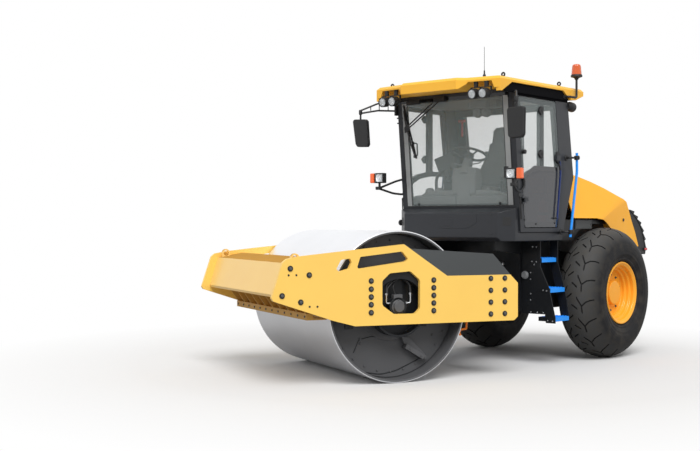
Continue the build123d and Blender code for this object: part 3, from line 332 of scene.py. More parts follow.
def lens(name, colour, glow=0.0, alpha=1.0):
    """A lamp's ribbed cover, with a faint glow where one is asked for."""
    cover = Finish(name, roughness=0.12, alpha=alpha)
    ribs = cover.node("TexWave", {"Vector": cover.places(), "Scale": RIB_SCALE},
                      bands_direction="Y")
    cover.set("Base Color", cover.blend(ribs, shade(colour, 0.8), shade(colour, 1.1)))
    cover.set("Coat Weight", 0.6)
    if glow:
        cover.set("Emission Color", colour)
        cover.set("Emission Strength", glow)
    cover.relief(ribs, RIB_DEPTH)
    return cover.material


amber_lens = lens("amber_lens", (0.95, 0.13, 0.010), 0.05)
beacon_amber = lens("beacon_amber", (0.68, 0.105, 0.006), 0.04)
red_lens = lens("red_lens", (0.75, 0.02, 0.02))
print("glass:", ", ".join(m.name for m in (clear_glass, tinted_glass, amber_lens, red_lens)))

# %% [markdown]
# ## Bare metal
# The drum's shell is rolled and turned steel, so its scratches run round it. Those
# lines must follow the drum's own axle, so the pattern is read along the front half's
# directions and varies only across the drum. Plated rods and pipes are smoother.

# %% Steel, chrome and rubber
TOOL_LINES = (0.6, 260, 0.6)    # how fast the scratches change forward, across and up


def turned_steel(name, colour, rough):
    """Steel turned about the drum's axle, with patches of wear."""
    steel = Finish(name, metallic=0.75)
    along = steel.places(FRONT)
    lines = steel.node("TexNoise", {"Vector": steel.node("Mapping", {
        "Vector": along, "Scale": TOOL_LINES}), "Scale": 1.0, "Detail": 4.0})
    patches = steel.noise(1.7, 5, along)
    steel.set("Base Color", steel.blend(patches, shade(colour, 0.93), shade(colour, 1.05)))
    steel.set("Roughness", rough - 0.08 + 0.12 * lines + 0.1 * patches)
    steel.relief(lines, 0.0003)
    return steel.material


def plated(name, colour, rough=0.12):
    """A smooth metal plating."""
    metal = Finish(name, metallic=1.0)
    metal.set("Base Color", colour)
    metal.set("Roughness", rough + 0.08 * metal.noise(60, 3))
    return metal.material


drum_steel = turned_steel("drum_steel", (0.86, 0.87, 0.90), 0.32)
chrome = plated("chrome", (0.82, 0.83, 0.85))
zinc = plated("zinc", (0.55, 0.56, 0.58), 0.35)
mirror_glass = plated("mirror_glass", (0.9, 0.9, 0.92), 0.02)
hose_rubber = moulded("hose_rubber", (0.014, 0.014, 0.015), 0.5, 500)
bolt_black = painted("bolt_black", (0.02, 0.021, 0.023), 0.4, 0.1)
bolt_grey = painted("bolt_grey", (0.09, 0.095, 0.10), 0.35, 0.1)
safety_red = painted("safety_red", (0.62, 0.02, 0.02), 0.25, 0.6)
hook_orange = painted("hook_orange", (0.95, 0.25, 0.02), 0.35)
print(len(bpy.data.materials), "materials")

# %% [markdown]
# ## Softening the CAD parts
# CAD parts have perfectly sharp edges, and real plate never does: edges are ground or
# bent, and it is the thin highlight along them that makes metal look solid. A copy of
# the CAD mesh is merged, its flat areas are dissolved into single faces, and every
# sharp edge gets a small bevel. Weighted normals then keep the flats flat.

# %% Helpers that place, soften and finish a piece
MERGE_DISTANCE, FLAT_ANGLE = 0.00002, radians(0.8)


def finished(bm, name, body, finish, at=None, stands_for=None, smooth=35):
    """Turns a bmesh into a named piece that rides on a body, if one is given."""
    if at is not None:
        bmesh.ops.transform(bm, matrix=at, verts=bm.verts)
        bmesh.ops.recalc_face_normals(bm, faces=bm.faces)
    mesh = bpy.data.meshes.new(name)
    bm.to_mesh(mesh)
    bm.free()
    for material in finish if isinstance(finish, list) else [finish]:
        mesh.materials.append(material)
    mesh.shade_smooth()
    mesh.set_sharp_from_angle(angle=radians(smooth))
    piece = bpy.data.objects.new(name, mesh)
    bpy.context.scene.collection.objects.link(piece)
    weighted = piece.modifiers.new("flat_faces", "WEIGHTED_NORMAL")
    weighted.keep_sharp = True
    if body:
        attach(piece, body)
    if stands_for:
        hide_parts(stands_for)
    print(f"{name}: {len(mesh.polygons)} faces")
    return piece


def copied(node):
    """The CAD node's mesh, merged, with its flat areas made whole."""
    bm = bmesh.new()
    bm.from_mesh(frame["nodes"][node].data)
    bmesh.ops.remove_doubles(bm, verts=bm.verts, dist=MERGE_DISTANCE)
    bmesh.ops.dissolve_limit(bm, angle_limit=FLAT_ANGLE, verts=bm.verts, edges=bm.edges)
    return bm


def ease(bm, width, segments=2, sharp=30):
    """Bevels every edge that turns more sharply than an angle."""
    edges = [e for e in bm.edges if len(e.link_faces) == 2
             and e.calc_face_angle(0) > radians(sharp) and e.calc_length() > 1.5 * width]
    bmesh.ops.bevel(bm, geom=edges, offset=width, offset_type="OFFSET", affect="EDGES",
                    segments=segments, profile=0.5, material=-1, clamp_overlap=True)
    return bm


body_of = {node: body for body, group in frame["record"]["behaviour"]["bodies"].items()
           for node in group}

# %% [markdown]
# The plainer parts need no more than that. Each one is named here with the width of
# its bevel: thick castings have a broad one, and thin sheet hardly any.

# %% Soften the plain parts
EASED = [  # node, bevel in metres, finish
    ("rear_beam", 0.008, frame_paint), ("steering_yoke", 0.006, frame_paint),
    ("scrapers", 0.002, shaded_scraper_paint), ("rear_frame", 0.004, frame_paint),
    ("rear_ballast", 0.012, frame_paint), ("mudguards", 0.010, frame_paint),
    ("cab_base", 0.010, cab_paint), ("door_left", 0.003, cab_paint),
    ("door_right", 0.003, cab_paint), ("roof", 0.012, roof_paint),
    ("hood", 0.010, hood_paint), ("rear_grille", 0.006, black_plastic),
    ("engine_block", 0.010, engine_paint),
]
for node, width, finish in EASED:
    finished(ease(copied(node), width), node + "_eased", body_of[node], finish,
             stands_for=node)

# %% [markdown]
# ## A small kit of solids
# Most details on a machine are a few kinds of thing: folded plate, turned parts, bent
# bar and bolts. Each helper makes one of them from a few points with the matching
# operator (extrude, spin, a round curve, a cone), turns its faces outward and adds it
# to a larger mesh, so that a whole family of details becomes one named piece.
# Boxes and plates come first, with the helpers that put things in place.

# %% Placing, boxes and plates
def join(bm, part, place=Matrix()):
    """Closes a part, puts it in place and adds it to a mesh."""
    bmesh.ops.remove_doubles(part, verts=part.verts, dist=1e-6)
    bmesh.ops.transform(part, matrix=place, verts=part.verts)
    bmesh.ops.recalc_face_normals(part, faces=part.faces)
    mesh = bpy.data.meshes.new("part")
    part.to_mesh(mesh)
    part.free()
    bm.from_mesh(mesh)
    bpy.data.meshes.remove(mesh)
    return bm


def facing(place, axis):
    """A matrix that stands local z along an axis at a place."""
    return Matrix.Translation(place) @ Vector(axis).to_track_quat("Z", "Y").to_matrix().to_4x4()


def points_in(result):
    """The points among what an operator made."""
    return [item for item in result["geom"] if isinstance(item, bmesh.types.BMVert)]


def circle(radius, count):
    """Points evenly round a circle, as (sine, cosine) pairs times its radius."""
    angles = [tau * number / count for number in range(count)]
    return [(radius * sin(angle), radius * cos(angle)) for angle in angles]


def brick(bm, low, high, soft=0, place=Matrix()):
    """A box between two corners, with eased edges if asked."""
    part, low, high = bmesh.new(), Vector(low), Vector(high)
    bmesh.ops.create_cube(part, size=1)
    bmesh.ops.scale(part, vec=high - low, verts=part.verts)
    bmesh.ops.translate(part, vec=(low + high) / 2, verts=part.verts)
    bmesh.ops.recalc_face_normals(part, faces=part.faces)
    return join(bm, ease(part, soft) if soft else part, place)


def plate(bm, outline, sweep, soft=0, place=Matrix()):
    """An outline of points pushed along a sweep, as cut plate or a folded panel is."""
    part = bmesh.new()
    face = part.faces.new([part.verts.new(point) for point in outline])
    pushed = bmesh.ops.extrude_face_region(part, geom=[face], use_keep_orig=True)
    bmesh.ops.translate(part, vec=sweep, verts=points_in(pushed))
    bmesh.ops.recalc_face_normals(part, faces=part.faces)
    return join(bm, ease(part, soft) if soft else part, place)


print("boxes and plates are ready")

# %% [markdown]
# Turned parts are a section spun once round an axis. Round bar and hose are a curve
# with a round bevel, because a curve rounds its own corners, and the curve is then
# made a mesh like everything else. A bolt is a cone with equal ends and a chamfer.
# Where a piece needs two paints, `cut` gives it a clean edge and `tint` picks the side.

# %% Turned parts, bent bar and bolts
def turned(bm, section, place, axis, steps=48, closed=False):
    """A section of (radius, distance along the axis) spun once round."""
    part = bmesh.new()
    verts = [part.verts.new((radius, 0, along)) for radius, along in section]
    ends = verts[1:] + verts[:1] if closed else verts[1:]
    edges = [part.edges.new(pair) for pair in zip(verts, ends)]
    bmesh.ops.spin(part, geom=verts + edges, cent=(0, 0, 0), axis=(0, 0, 1), angle=tau,
                   steps=steps, use_merge=True)
    return join(bm, part, facing(place, axis))


def bar(bm, corners, radius, bend=0.06, rings=6, place=Matrix()):
    """A round bar or hose through some corners, each one rounded off by a bend."""
    corners = [Vector(corner) for corner in corners]
    route = [corners[0]]
    for before, corner, after in zip(corners, corners[1:], corners[2:]):
        for end in (before, after):
            leg = end - corner
            route.append(corner + leg * min(0.5, bend / leg.length))
            if end is before:
                route.append(corner)
    route.append(corners[-1])
    curve = bpy.data.curves.new("bar", "CURVE")
    curve.dimensions = "3D"
    curve.bevel_depth, curve.bevel_resolution, curve.use_fill_caps = radius, 3, True
    line = curve.splines.new("NURBS")
    line.points.add(len(route) - 1)
    for point, at in zip(line.points, route):
        point.co = (*at, 1)
    line.use_endpoint_u, line.order_u, line.resolution_u = True, 3, rings
    holder = bpy.data.objects.new("bar", curve)
    mesh = bpy.data.meshes.new_from_object(holder)
    part = bmesh.new()
    part.from_mesh(mesh)
    bpy.data.objects.remove(holder)
    bpy.data.meshes.remove(mesh)
    bpy.data.curves.remove(curve)
    return join(bm, part, place)


def bolts(bm, places, axis, radius, height, sides=6, place=Matrix()):
    """A chamfered bolt head or washer at each place."""
    for at in places:
        part = bmesh.new()
        bmesh.ops.create_cone(part, cap_ends=True, segments=sides, radius1=radius,
                              radius2=radius, depth=height)
        rim = [e for e in part.edges if all(v.co.z > 0 for v in e.verts)]
        bmesh.ops.bevel(part, geom=rim, offset=min(radius, height) * 0.25, affect="EDGES",
                        segments=1, profile=0.5, material=-1)
        join(bm, part, place @ facing(at, axis) @ Matrix.Translation((0, 0, height / 2)))
    return bm


def cut(bm, place, normal, frame_matrix=REAR):
    """Adds edges where a plane crosses a mesh."""
    bmesh.ops.bisect_plane(bm, geom=bm.verts[:] + bm.edges[:] + bm.faces[:],
                           plane_co=frame_matrix @ Vector(place), plane_no=Vector(normal))


def tint(bm, frame_matrix, chosen, index=1):
    """Gives the faces whose middles pass a test another of the piece's materials."""
    back = frame_matrix.inverted()
    for face in bm.faces:
        if chosen(back @ face.calc_center_median()):
            face.material_index = index
    return bm


print("turned parts, bars and bolts are ready")

# %% [markdown]
# ## Side plates
# Each plate is one thick flame-cut sheet. A copy of the CAD plate is cut by two planes
# along the edge of the grey band, which gives clean edges for two colours of paint.
# The bolts stand on black washers, in the columns where the cross beams and the drum
# carriers are bolted on behind.

# %% Two-tone side plates and their bolts
BAND_HIGH, BAND_LOW = Vector((1.353, 0, 1.341)), Vector((0.931, 0, 1.064))
PLATE_FACE = 1.135
BOLT_COLUMNS = {  # forward place: heights
    1.787: (1.030, 0.950, 0.873, 0.797, 0.719), 1.089: (1.025, 0.948, 0.871, 0.794, 0.717),
    0.419: (1.028, 0.905, 0.783, 0.661), 0.250: (1.028, 0.905, 0.783, 0.661),
    2.638: (1.165,), 2.444: (1.100,), 2.722: (0.907,), 2.531: (0.842,),
}
SMALL_HOLES = ((2.655, 1.102), (2.576, 1.102), (2.439, 0.797), (2.358, 0.795))
WASHER, HEAD, STUD = (0.028, 0.007, 20), (0.016, 0.017, 6), (0.010, 0.004, 12)
band_slope = BAND_HIGH - BAND_LOW
for side, way in SIDES:
    bm = ease(copied("side_plate_" + side), 0.004)
    bmesh.ops.transform(bm, matrix=FRONT.inverted(), verts=bm.verts)
    for normal in (band_slope.cross(Vector((0, 1, 0))), (0, 0, 1)):
        cut(bm, BAND_LOW, normal, Matrix())
    tint(bm, Matrix(), lambda p: p.z > BAND_LOW.z
         + max(0, p.x - BAND_LOW.x) * band_slope.z / band_slope.x)
    finished(bm, "side_plate_" + side + "_painted", "front_frame", [plate_paint, band_paint],
             FRONT, "side_plate_" + side)
    places = [(x, way * PLATE_FACE, z) for x, column in BOLT_COLUMNS.items() for z in column]
    small = [(x, way * PLATE_FACE, z) for x, z in SMALL_HOLES]
    for name, spots, size, finish in (
            ("washers", places, WASHER, bolt_black), ("bolts", places, HEAD, bolt_grey),
            ("studs", small, STUD, bolt_black)):   # each size is radius, height, sides
        finished(bolts(bmesh.new(), spots, (0, way, 0), *size, FRONT),
                 f"plate_{name}_{side}", "front_frame", finish)
print(len(places), "bolts in each plate")

# %% [markdown]
# ## Front beam
# The box beam runs across the front. The faces that look up get a duller, browner paint
# than the rest, which is painted shade on its top slope. The test is each face's own
# normal.

# %% Beam with painted shade on the faces that look up
SHADED_SLOPE = 0.45    # how much of a face's normal points up
bm = ease(copied("front_beam"), 0.006)
bm.normal_update()
# faces that look up get the painted shade
for face in bm.faces:
    face.material_index = 1 if face.normal.z > SHADED_SLOPE else 0
finished(bm, "front_beam_shaded_top", "front_frame", [lit_beam_paint, shaded_top_paint],
         stands_for="front_beam")

# %% [markdown]
# ## Drum
# The drum is a rolled shell with a disc welded well inside each end. Spinning a closed
# section with rounded lips gives a shell far smoother than the CAD facets, so that the
# floor is mirrored in one clean streak. The discs are painted dark, with a raised boss
# in the middle.

# %% Shell and discs
DRUM_X, DRUM_Z = 1.45, 0.7615
DRUM_PLACE = FRONT @ Vector((DRUM_X, 0, DRUM_Z))
DRUM_AXIS = FRONT.to_3x3() @ Vector((0, 1, 0))
SHELL_OUTER, SHELL_INNER, SHELL_HALF, LIP = 0.7615, 0.7315, 1.065, 0.004
BRIGHT_EDGE = SHELL_OUTER - 0.011
shell_section = []
for across in WAYS:
    lip = [(SHELL_INNER, SHELL_HALF - LIP), (SHELL_INNER + LIP, SHELL_HALF),
           (BRIGHT_EDGE, SHELL_HALF), (SHELL_OUTER - LIP, SHELL_HALF),
           (SHELL_OUTER, SHELL_HALF - LIP)]
    shell_section += [(r, across * y) for r, y in (lip if across > 0 else reversed(lip))]
bm = turned(bmesh.new(), shell_section, DRUM_PLACE, DRUM_AXIS, 180, closed=True)
for face in bm.faces:
    offset = face.calc_center_median() - DRUM_PLACE
    radius = (offset - DRUM_AXIS * offset.dot(DRUM_AXIS)).length
    face.material_index = 1 if radius < BRIGHT_EDGE else 0
finished(bm, "drum_shell", "drum", [drum_steel, disc_paint], stands_for="drum", smooth=50)

DISC_FACE, DISC_BACK = 0.875, 0.847
bm = bmesh.new()
for across in WAYS:
    section = [(0.0805, DISC_FACE - 0.060), (0.150, DISC_FACE - 0.060), (0.150, DISC_BACK),
               (SHELL_INNER + 0.002, DISC_BACK), (SHELL_INNER + 0.002, DISC_FACE - 0.012),
               (SHELL_INNER - 0.010, DISC_FACE), (0.360, DISC_FACE), (0.350, DISC_FACE + 0.008),
               (0.250, DISC_FACE + 0.008), (0.240, DISC_FACE), (0.0805, DISC_FACE)]
    turned(bm, section, DRUM_PLACE, DRUM_AXIS * across, 120, closed=True)
finished(bm, "drum_discs", "drum", disc_paint, stands_for="drum", smooth=25)

# %% [markdown]
# Each disc carries a ring of small bolts, two curved welds and a few nuts, and the
# welded box that guards the grease nipples: a sloping channel with a lid.

# %% What is welded and bolted to the discs
RIM_BOLTS, RIM_BOLT_RADIUS = 28, 0.665
bm, weld = bmesh.new(), bmesh.new()
for way in WAYS:
    face = way * DISC_FACE
    rim_bolts = [(DRUM_X + forward, face, DRUM_Z + up)
                 for forward, up in circle(RIM_BOLT_RADIUS, RIM_BOLTS)]
    bolts(bm, rim_bolts, (0, way, 0), 0.012, 0.010, 6, FRONT)
    plate(bm, [(1.322, face, 0.385), (1.345, face, 0.448), (1.262, face, 0.436),
               (1.050, face, 0.232), (1.072, face, 0.200)], (0, way * 0.055, 0), 0.004, FRONT)
    plate(bm, [(1.300, face, 0.375), (1.322, face, 0.330), (1.115, face, 0.205),
               (1.090, face, 0.245)], (0, way * 0.085, 0), 0.006, FRONT)
    bolts(bm, [(1.262, way * 0.960, 0.322), (1.140, way * 0.960, 0.247)], (0, way, 0),
          0.011, 0.008, 6, FRONT)
    bolts(bm, [(1.787, face, 0.436), (1.786, face, 0.392), (1.205, face, 0.470),
               (0.967, face, 0.446)], (0, way, 0), 0.013, 0.012, 6, FRONT)
    bar(weld, [(1.740, face, 0.100), (1.560, face, 0.070), (1.380, face, 0.100),
               (1.210, face, 0.170), (1.078, face, 0.222)], 0.006, 0.09, 4, FRONT)
    bar(weld, [(1.860, face, 0.300), (1.800, face, 0.430), (1.654, face, 0.458),
               (1.453, face, 0.424), (1.345, face, 0.448)], 0.005, 0.05, 4, FRONT)
finished(bm, "drum_disc_fittings", "drum", disc_paint)
finished(weld, "drum_disc_welds", "drum", bolt_black)

# %% [markdown]
# ## Drum carriers and motors
# Behind the window in each plate sits a hydraulic motor. It is fed by two plated elbow
# pipes with black hoses on them, and a thin grey drain line arches over the top. These
# lines are fixed at both ends, so each is a curve through a few corners given a round
# section, and the elbows end in hexagon unions.

# %% Motor, unions and hoses in the plate windows
MOTOR_BOLT_RADIUS = 0.066
carriers = ease(copied("drum_carriers"), 0.003)
finished(carriers, "drum_carriers_eased", "front_frame", frame_paint, stands_for="drum_carriers")
for side, way in SIDES:
    bm = bmesh.new()
    motor = [(0, 0.045), (0.050, 0.045), (0.056, 0.039), (0.056, 0.020), (0.074, 0.014),
             (0.080, 0.008), (0.080, -0.030), (0.090, -0.036), (0.090, -0.085), (0, -0.085)]
    centre = FRONT @ Vector((DRUM_X, way * 1.045, DRUM_Z))
    turned(bm, motor, centre, DRUM_AXIS * way, 40)
    brick(bm, (1.40, way * 0.99, 0.80), (1.50, way * 1.06, 0.885), 0.008, FRONT)
    bolts(bm, [(DRUM_X + forward, way * 1.058, DRUM_Z + up)
               for forward, up in circle(MOTOR_BOLT_RADIUS, 6)], (0, way, 0), 0.008, 0.008,
          6, FRONT)
    finished(bm, f"drum_motor_{side}", "front_frame", disc_paint)
    elbows, unions, hoses = bmesh.new(), bmesh.new(), bmesh.new()
    for low, high, toward in ((1.527, 1.580, 1), (1.350, 1.311, -1)):
        bar(elbows, [(low, way * 1.04, 0.797), (high, way * 1.05, 0.800),
                     (high, way * 1.05, 0.885)], 0.009, 0.03, 6, FRONT)
        bolts(unions, [(high, way * 1.05, 0.880)], (0, 0, 1), 0.015, 0.022, 6, FRONT)
        bolts(unions, [(low - toward * 0.012, way * 1.04, 0.797)], (toward, 0, 0), 0.016,
              0.022, 6, FRONT)
        bar(hoses, [(high, way * 1.05, 0.900), (high - toward * 0.004, way * 1.04, 0.985),
                    (1.40, way * 1.00, 1.075), (1.24, way * 0.965, 1.090)], 0.014, 0.07, 6, FRONT)
    bar(hoses, [(1.475, way * 1.03, 0.885), (1.500, way * 1.03, 0.960),
                (1.440, way * 0.99, 1.060), (1.25, way * 0.96, 1.070)], 0.010, 0.06, 6, FRONT)
    finished(elbows, f"motor_elbows_{side}", "front_frame", chrome)
    finished(unions, f"motor_unions_{side}", "front_frame", zinc)
    finished(hoses, f"motor_hoses_{side}", "front_frame", hose_rubber)
    drain = bar(bmesh.new(), [(1.573, way * 1.06, 0.90), (1.570, way * 1.06, 0.950),
                              (1.516, way * 1.05, 1.004), (1.386, way * 1.03, 1.065),
                              (1.271, way * 1.01, 1.090)], 0.005, 0.05, 5, FRONT)
    finished(drain, f"motor_drain_{side}", "front_frame", grey_plastic)

# %% [markdown]
# ## Scrapers, hooks and stops
# Scraper blades are thin replaceable strips bolted along a bar, so a long row of small
# bolts is what tells them from plain angle iron. Orange hooks for tying the machine
# down hang behind the drum, and two small blocks are bolted under each side.

# %% Scraper bolts, tie-down hooks and stops
SCRAPER_BOLTS, SCRAPER_PITCH = 12, 0.180
bm = bmesh.new()
for number in range(SCRAPER_BOLTS):
    across = (number - (SCRAPER_BOLTS - 1) / 2) * SCRAPER_PITCH
    bolts(bm, [(2.430, across, 0.690)], (1, 0, 0), 0.011, 0.009, 6, FRONT)
    bolts(bm, [(0.597, across, 0.995)], (-1, 0, 0), 0.011, 0.009, 6, FRONT)
finished(bm, "scraper_bolts", "front_frame", bolt_grey)
bm = bmesh.new()
for way in WAYS:
    hook = [(0.625, way * 1.000, 0.595), (0.632, way * 1.000, 0.505), (0.700, way * 1.000, 0.500),
            (0.715, way * 1.000, 0.468), (0.702, way * 1.000, 0.440)]
    bar(bm, hook, 0.011, 0.022, 5, FRONT)
    brick(bm, (0.610, way * 0.985, 0.585), (0.670, way * 1.093, 0.605), 0.003, FRONT)
finished(bm, "tie_down_hooks", "front_frame", hook_orange)
bm = bmesh.new()
for way in WAYS:
    for x in (2.004, 1.193):
        brick(bm, (x - 0.045, way * 1.084 - 0.014, 0.560), (x + 0.045, way * 1.084 + 0.014, 0.640),
              0.006, FRONT)
        bolts(bm, [(x, way * 1.098, 0.574)], (0, way, 0), 0.010, 0.008, 6, FRONT)
finished(bm, "lower_stops", "front_frame", frame_paint)

# %% [markdown]
# ## Hoses across the hinge
# Oil for the drum and the cylinders crosses the hinge in four looped hoses, which bend
# when the machine steers. Here they are one piece that rides on neither half, between
# unions on the rear half and on the front half.

# %% Hoses from the bulkhead to the front half
bm, unions = bmesh.new(), bmesh.new()
HOSES = ((0.185, 1.245), (0.215, 1.215), (-0.185, 1.245), (-0.215, 1.215))   # across, top
for across, rise in HOSES:
    start, end = REAR @ Vector((-0.352, across, 1.13)), FRONT @ Vector((0.30, across, 1.055))
    bar(bm, [start, REAR @ Vector((-0.24, across, 1.13)), REAR @ Vector((-0.12, across, rise)),
             FRONT @ Vector((0.14, across, rise)), FRONT @ Vector((0.30, across, 1.20)), end],
        0.017, 0.11, 8)
    bolts(unions, [start], (1, 0, 0), 0.026, 0.035)
hinge_hoses = finished(bm, "hinge_hoses", None, hose_rubber)
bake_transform(hinge_hoses)
finished(unions, "bulkhead_unions", "rear_chassis", zinc)
bm = bolts(bmesh.new(), [(0.30, across, 1.050) for across, _ in HOSES], (0, 0, 1), 0.024,
           0.030, 6, FRONT)
finished(bm, "front_unions", "front_frame", zinc)

# %% [markdown]
# ## Ladders
# The ladders' plates are frame black and the treads bright blue, so that a boot finds
# them. One copy of the CAD node carries both paints, chosen by where each face lies.
# The treads are punched upwards for grip, and small plated bolts hold the plates.

# %% Two-colour ladders, tread studs and bolts
TREAD_FRONT, TREAD_BACK = -0.393, -0.699
bm = ease(copied("ladders"), 0.003)
tint(bm, REAR, lambda p: TREAD_BACK < p.x < TREAD_FRONT)
finished(bm, "ladders_painted", "rear_chassis", [frame_paint, step_blue], stands_for="ladders")
TREADS = ((1.204, 0.712), (0.868, 0.822), (0.545, 0.878))   # height, outer edge
STUD_ROWS, STUD_COLUMNS = [-0.425 - row * 0.035 for row in range(8)], range(5)
PLATE_X = -0.380
PLATE_BOLTS = (
    (0.591, 1.165), (0.649, 1.162), (0.621, 1.130), (0.736, 0.845), (0.782, 0.838),
    (0.796, 0.507), (0.859, 0.503), (0.600, 1.330), (0.650, 1.330), (0.573, 1.040),
    (0.573, 0.965), (0.573, 0.800), (0.573, 0.730), (0.575, 0.592), (0.660, 0.592),
    (0.738, 0.592),
)
studs, heads, caps = bmesh.new(), bmesh.new(), bmesh.new()
for way in WAYS:
    for height, edge in TREADS:
        places = [(x, way * (edge - 0.025 - column * 0.038), height)
                  for x in STUD_ROWS for column in STUD_COLUMNS]
        bolts(studs, places, (0, 0, 1), 0.010, 0.005, 8, REAR)
    bolts(heads, [(PLATE_X, way * y, z) for y, z in PLATE_BOLTS], (1, 0, 0), 0.009, 0.008,
          6, REAR)
    cap = [(0, 0.026), (0.034, 0.026), (0.040, 0.021), (0.040, 0.010), (0.046, 0.008),
           (0.046, 0), (0, 0)]
    turned(caps, cap, REAR @ Vector((PLATE_X, way * 0.500, 1.010)), (1, 0, 0), 32)
finished(studs, "tread_studs", "rear_chassis", step_blue)
finished(heads, "ladder_bolts", "rear_chassis", zinc)
finished(caps, "pivot_caps", "rear_chassis", moulded("cap_grey", (0.27, 0.28, 0.29), 0.35))

# %% [markdown]
# ## Cylinders
# A steering cylinder is a honed tube with a screwed gland at the open end and a welded
# port boss. Barrel and rod are the CAD parts; the gland and the two ports are added.

# %% Glands and ports
for side, way in SIDES:
    for node, finish in (("cylinder_barrel_", frame_paint), ("cylinder_rod_", chrome)):
        finished(ease(copied(node + side), 0.002), node + side + "_eased",
                 body_of[node + side], finish, stands_for=node + side)
    axis = Vector(joints[f"cylinder_{side}_stroke"]["axis"])
    foot = Vector(joints[f"cylinder_{side}_swing"]["pos_m"])
    gland = [(0.0252, 0.492), (0.0252, 0.522), (0.036, 0.522), (0.040, 0.516), (0.040, 0.502),
             (0.056, 0.500), (0.058, 0.496), (0.058, 0.462), (0.051, 0.458), (0.051, 0.492)]
    bm = turned(bmesh.new(), gland, foot, axis, 36, closed=True)
    for along in (0.10, 0.44):
        bolts(bm, [foot + axis * along + Vector((0, 0, 0.048))], (0, 0, 1), 0.020, 0.030)
    finished(bm, f"cylinder_gland_{side}", f"cylinder_barrel_{side}", bolt_grey)

# %% [markdown]
# ## Tyres
# A soil tyre is broad and round-shouldered, with shallow curved grooves like a letter Y
# cut into a smooth tread. The section is spun once round, and each ring of points is
# then turned a little by a different amount, so that straight cross edges become the
# grooves' hooked lines. First come the measures, and the rule for which edges of that
# net of points are grooves.

# %% The tread's measures and its pattern
TYRE_RADIUS, TYRE_HALF, BULGE_RADIUS = 0.772, 0.275, 0.520
PITCHES, PARTS = 19, 6            # grooves round the tyre, and steps to each
LANES, ROUNDNESS = 16, 2 / 2.2
STEPS = PITCHES * PARTS
LEAN = {8: -3.4, 7: -2.3, 6: 0, 5: -1.1, 4: -1.5, 3: -1.6}   # steps each ring is turned by
GROOVE_WIDTH, GROOVE_DEPTH = 0.0086, 0.013
AXLE = REAR @ Vector((-1.620, 0, 0.772))
TYRE_MIDDLE = 0.822


def is_groove(lanes, turns):
    """Whether the edge between two points of the tread is cut as a groove."""
    near, far = sorted(min(lane, LANES - lane) for lane in lanes)
    phase = [(turn + (0 if sum(lanes) < LANES else PARTS // 2)) % PARTS for turn in turns]
    if phase[0] == phase[1]:
        tread = phase[0] == 0 and 3 <= near and far <= 7
        slot = phase[0] == 3 and near == 7
        return tread or slot
    return near == far == 6 and set(phase) in ({0, 1}, {1, 2})


print(f"{PITCHES} pitches of {tau * TYRE_RADIUS / PITCHES:.3f} m round the tread")

# %% [markdown]
# The chosen edges are bevelled into narrow strips, and the strips are pushed into the
# rubber. The grooves then have real depth, and they notch the tyre's outline. Low
# rings on the sidewall, part of the same section, stand for the moulded ribs there.

# %% Spin the carcass, then cut the grooves
INWARD_BIAS = 1.6    # how much more a groove's floor sinks across the tyre than down


def carcass(way):
    """The tyre about local z, outboard side up, its pattern running one way."""
    part = bmesh.new()
    lane_of = part.verts.layers.int.new("lane")
    section = [(0.372, 0.215), (0.386, 0.231), (0.390, 0.240), (0.400, 0.2455), (0.410, 0.2475),
               (0.415, 0.2455), (0.452, 0.262), (0.457, 0.2685), (0.466, 0.271), (0.474, 0.2690),
               (0.505, 0.2735)]
    crown = []
    for lane in range(LANES + 1):
        angle = pi * lane / LANES
        side = 1 if lane * 2 < LANES else -1
        crown.append((BULGE_RADIUS + (TYRE_RADIUS - BULGE_RADIUS) * sin(angle) ** ROUNDNESS,
                      side * TYRE_HALF * abs(cos(angle)) ** ROUNDNESS))
    bead = [(0.337, 0.215), (0.332, 0.180), (0.380, 0.185)]
    inner = [(0.500, 0.232), (0.640, 0.200), (0.715, 0.090)]
    rows = [(p, 0) for p in section] + [(p, lane) for lane, p in enumerate(crown)]
    rows += [((r, -y), LANES) for r, y in reversed(section)]
    rows += [((r, -y), LANES) for r, y in bead + inner]
    rows += [(p, 0) for p in reversed(bead + inner)]
    verts = []
    for (radius, along), lane in rows:
        vert = part.verts.new((radius, 0, along))
        vert[lane_of] = lane
        verts.append(vert)
    edges = [part.edges.new(pair) for pair in zip(verts, verts[1:] + verts[:1])]
    bmesh.ops.spin(part, geom=verts + edges, cent=(0, 0, 0), axis=(0, 0, 1), angle=tau,
                   steps=STEPS, use_merge=True)
    bmesh.ops.remove_doubles(part, verts=part.verts, dist=1e-6)
    turn = {v: round(way * atan2(v.co.y, v.co.x) / tau * STEPS) % STEPS for v in part.verts}
    grooves = []
    for edge in part.edges:
        lanes = [v[lane_of] for v in edge.verts]
        radii = [hypot(v.co.x, v.co.y) for v in edge.verts]
        if min(radii) > BULGE_RADIUS + 0.01 and is_groove(lanes, [turn[v] for v in edge.verts]):
            grooves.append(edge)
    for vert in part.verts:
        lean = LEAN.get(min(vert[lane_of], LANES - vert[lane_of]), LEAN[3])
        vert.co = Matrix.Rotation(way * lean * tau / STEPS, 3, "Z") @ vert.co
    bmesh.ops.recalc_face_normals(part, faces=part.faces)
    cut = bmesh.ops.bevel(part, geom=grooves, offset=GROOVE_WIDTH, offset_type="OFFSET",
                          affect="EDGES", segments=1, profile=0.5, material=-1,
                          clamp_overlap=True)
    sunk = bmesh.ops.extrude_face_region(part, geom=cut["faces"])
    bmesh.ops.delete(part, geom=[face for face in cut["faces"] if face.is_valid],
                     context="FACES")
    floor_verts = set(points_in(sunk))
    part.normal_update()
    for vert in floor_verts:
        reach = Vector((vert.co.x, vert.co.y, 0)).length
        inward = Vector((-vert.co.x / reach, -vert.co.y / reach,
                         -INWARD_BIAS * vert.co.z)).normalized()
        vert.co += inward * GROOVE_DEPTH
    # groove walls and floors take the second material, which is painted shade
    for face in part.faces:
        if floor_verts.intersection(face.verts):
            face.material_index = 1
    return part


